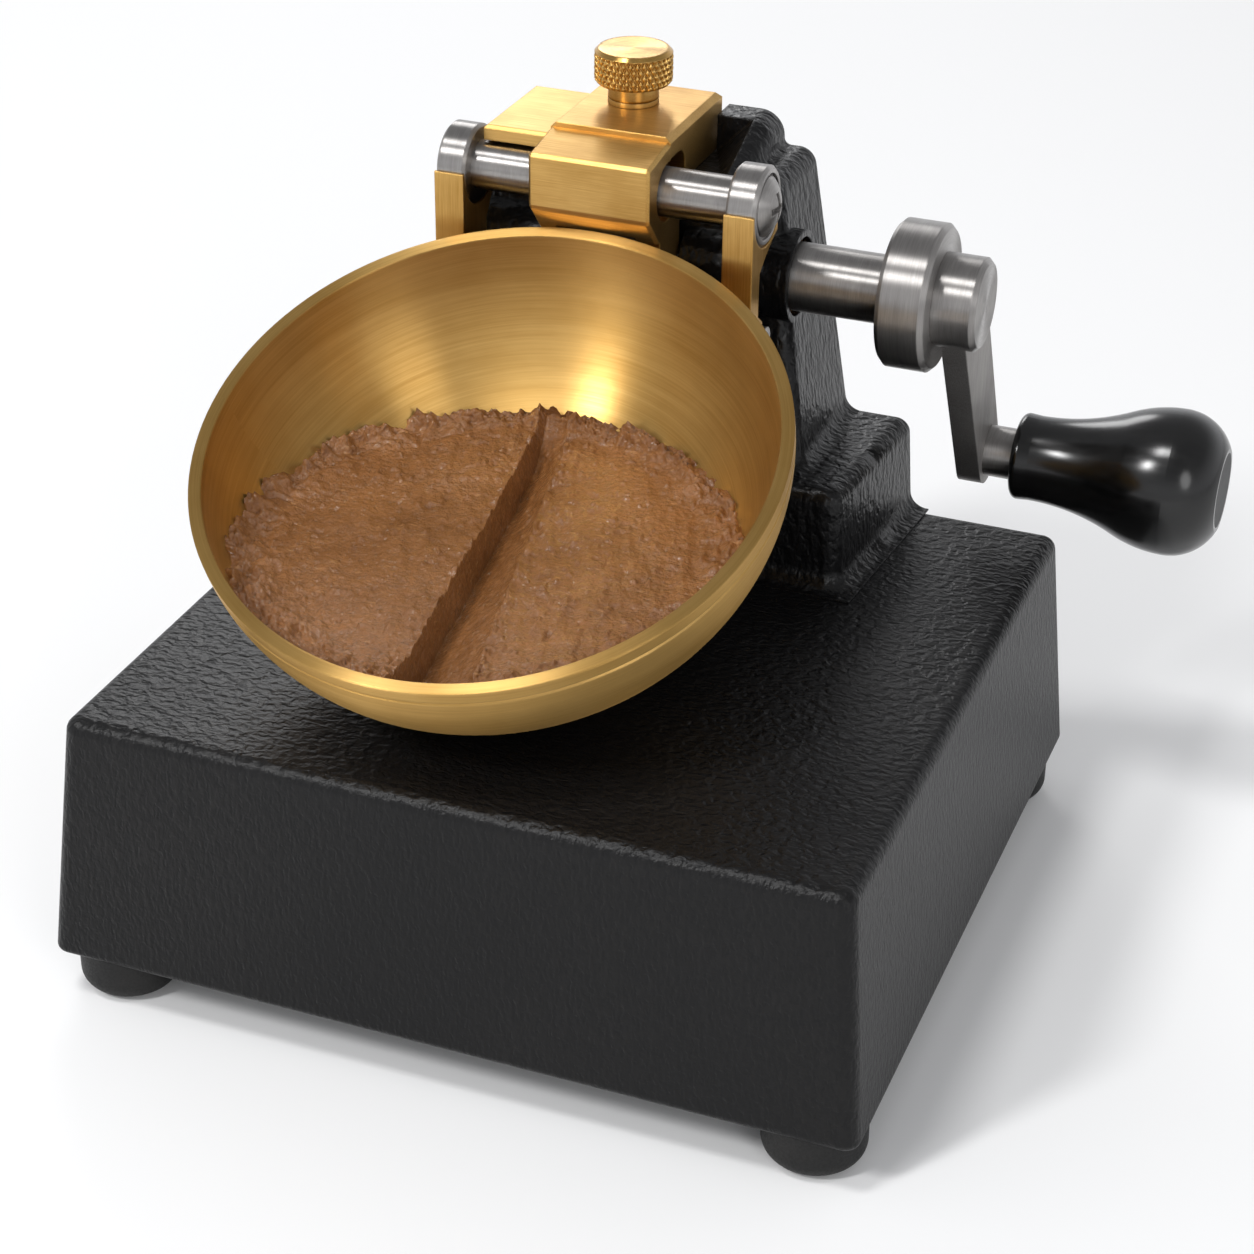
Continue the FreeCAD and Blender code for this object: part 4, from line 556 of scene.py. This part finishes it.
def camera():
    """A long lens from the front right and above, level but for a slight roll."""
    azimuth, elevation, roll = (math.radians(turn) for turn in CAMERA_TURNS)
    back = Vector((math.sin(azimuth) * math.cos(elevation),
                   -math.cos(azimuth) * math.cos(elevation), math.sin(elevation)))
    level = Vector((math.cos(azimuth), math.sin(azimuth), 0))
    above = back.cross(level)
    right = level * math.cos(roll) + above * math.sin(roll)
    up = above * math.cos(roll) - level * math.sin(roll)
    data = bpy.data.cameras.new("camera")
    data.lens = LENS
    data.sensor_width = SENSOR
    data.clip_start = 0.01
    data.clip_end = 20.0
    thing = bpy.data.objects.new("camera", data)
    turn = Matrix((right, up, back)).transposed()
    place = Vector(HINGE) + Vector(CAMERA_FROM_HINGE)
    thing.matrix_world = Matrix.Translation(place) @ turn.to_4x4()
    bpy.context.scene.collection.objects.link(thing)
    bpy.context.scene.camera = thing


def soft_box(name, way, across, watts):
    """An oval soft box that faces the device from a direction."""
    data = bpy.data.lights.new(name, "AREA")
    data.shape = "ELLIPSE"
    data.size, data.size_y = across
    data.energy = watts
    thing = bpy.data.objects.new(name, data)
    away = Vector(way).normalized()
    thing.location = Vector(BOX_AIM) + away * BOX_DISTANCE
    thing.rotation_euler = (-away).to_track_quat("-Z", "Y").to_euler()
    bpy.context.scene.collection.objects.link(thing)


def world_light():
    """A room that is white near the horizon and darker overhead, the same for every ray."""
    world = bpy.data.worlds.new("studio")
    bpy.context.scene.world = world
    world.use_nodes = True
    tree = world.node_tree
    tree.nodes.clear()
    output = tree.nodes.new("ShaderNodeOutputWorld")
    sky = tree.nodes.new("ShaderNodeBackground")
    sky.inputs[0].default_value = linear("fbfcff")
    way = tree.nodes.new("ShaderNodeTexCoord")
    split = tree.nodes.new("ShaderNodeSeparateXYZ")
    fall = tree.nodes.new("ShaderNodeMapRange")
    tree.links.new(way.outputs["Generated"], split.inputs[0])
    tree.links.new(split.outputs[2], fall.inputs["Value"])
    for key, value in (("From Min", 0.2), ("From Max", 0.6), ("To Min", 1.0), ("To Max", 0.42)):
        fall.inputs[key].default_value = value
    tree.links.new(fall.outputs[0], sky.inputs[1])
    tree.links.new(sky.outputs[0], output.inputs[0])


def studio():
    """A white floor, the room, and the soft boxes. The key and the box overhead are narrow and
    stand to the front left, so that the cup's rings answer each with one bright fan."""
    corners = np.array([[-1, -1, 0], [1, -1, 0], [1, 1, 0], [-1, 1, 0]]) * FLOOR_HALF
    s = Shader("floor_white")
    s.surface(Base_Color=linear("f7f7f7"), Roughness=0.9)
    floor = mesh_piece("floor", corners, np.array([[0, 1, 2, 3]]), s.material)
    world_light()
    for name, (way, across, watts) in SOFT_BOXES.items():
        soft_box(name, way, across, watts)
    bpy.context.scene.view_settings.view_transform = "Standard"


dress_frame()
build_soil(wet_clay_soil("wet_clay_soil"))
knurled_screw(turned_metal("knob_brass", [THUMB[0], THUMB[1], 0.0], AXIS_Z, BRASS, 0.25,
                           0.14 * MM, edge=0.15 * MM))
camera()
studio()
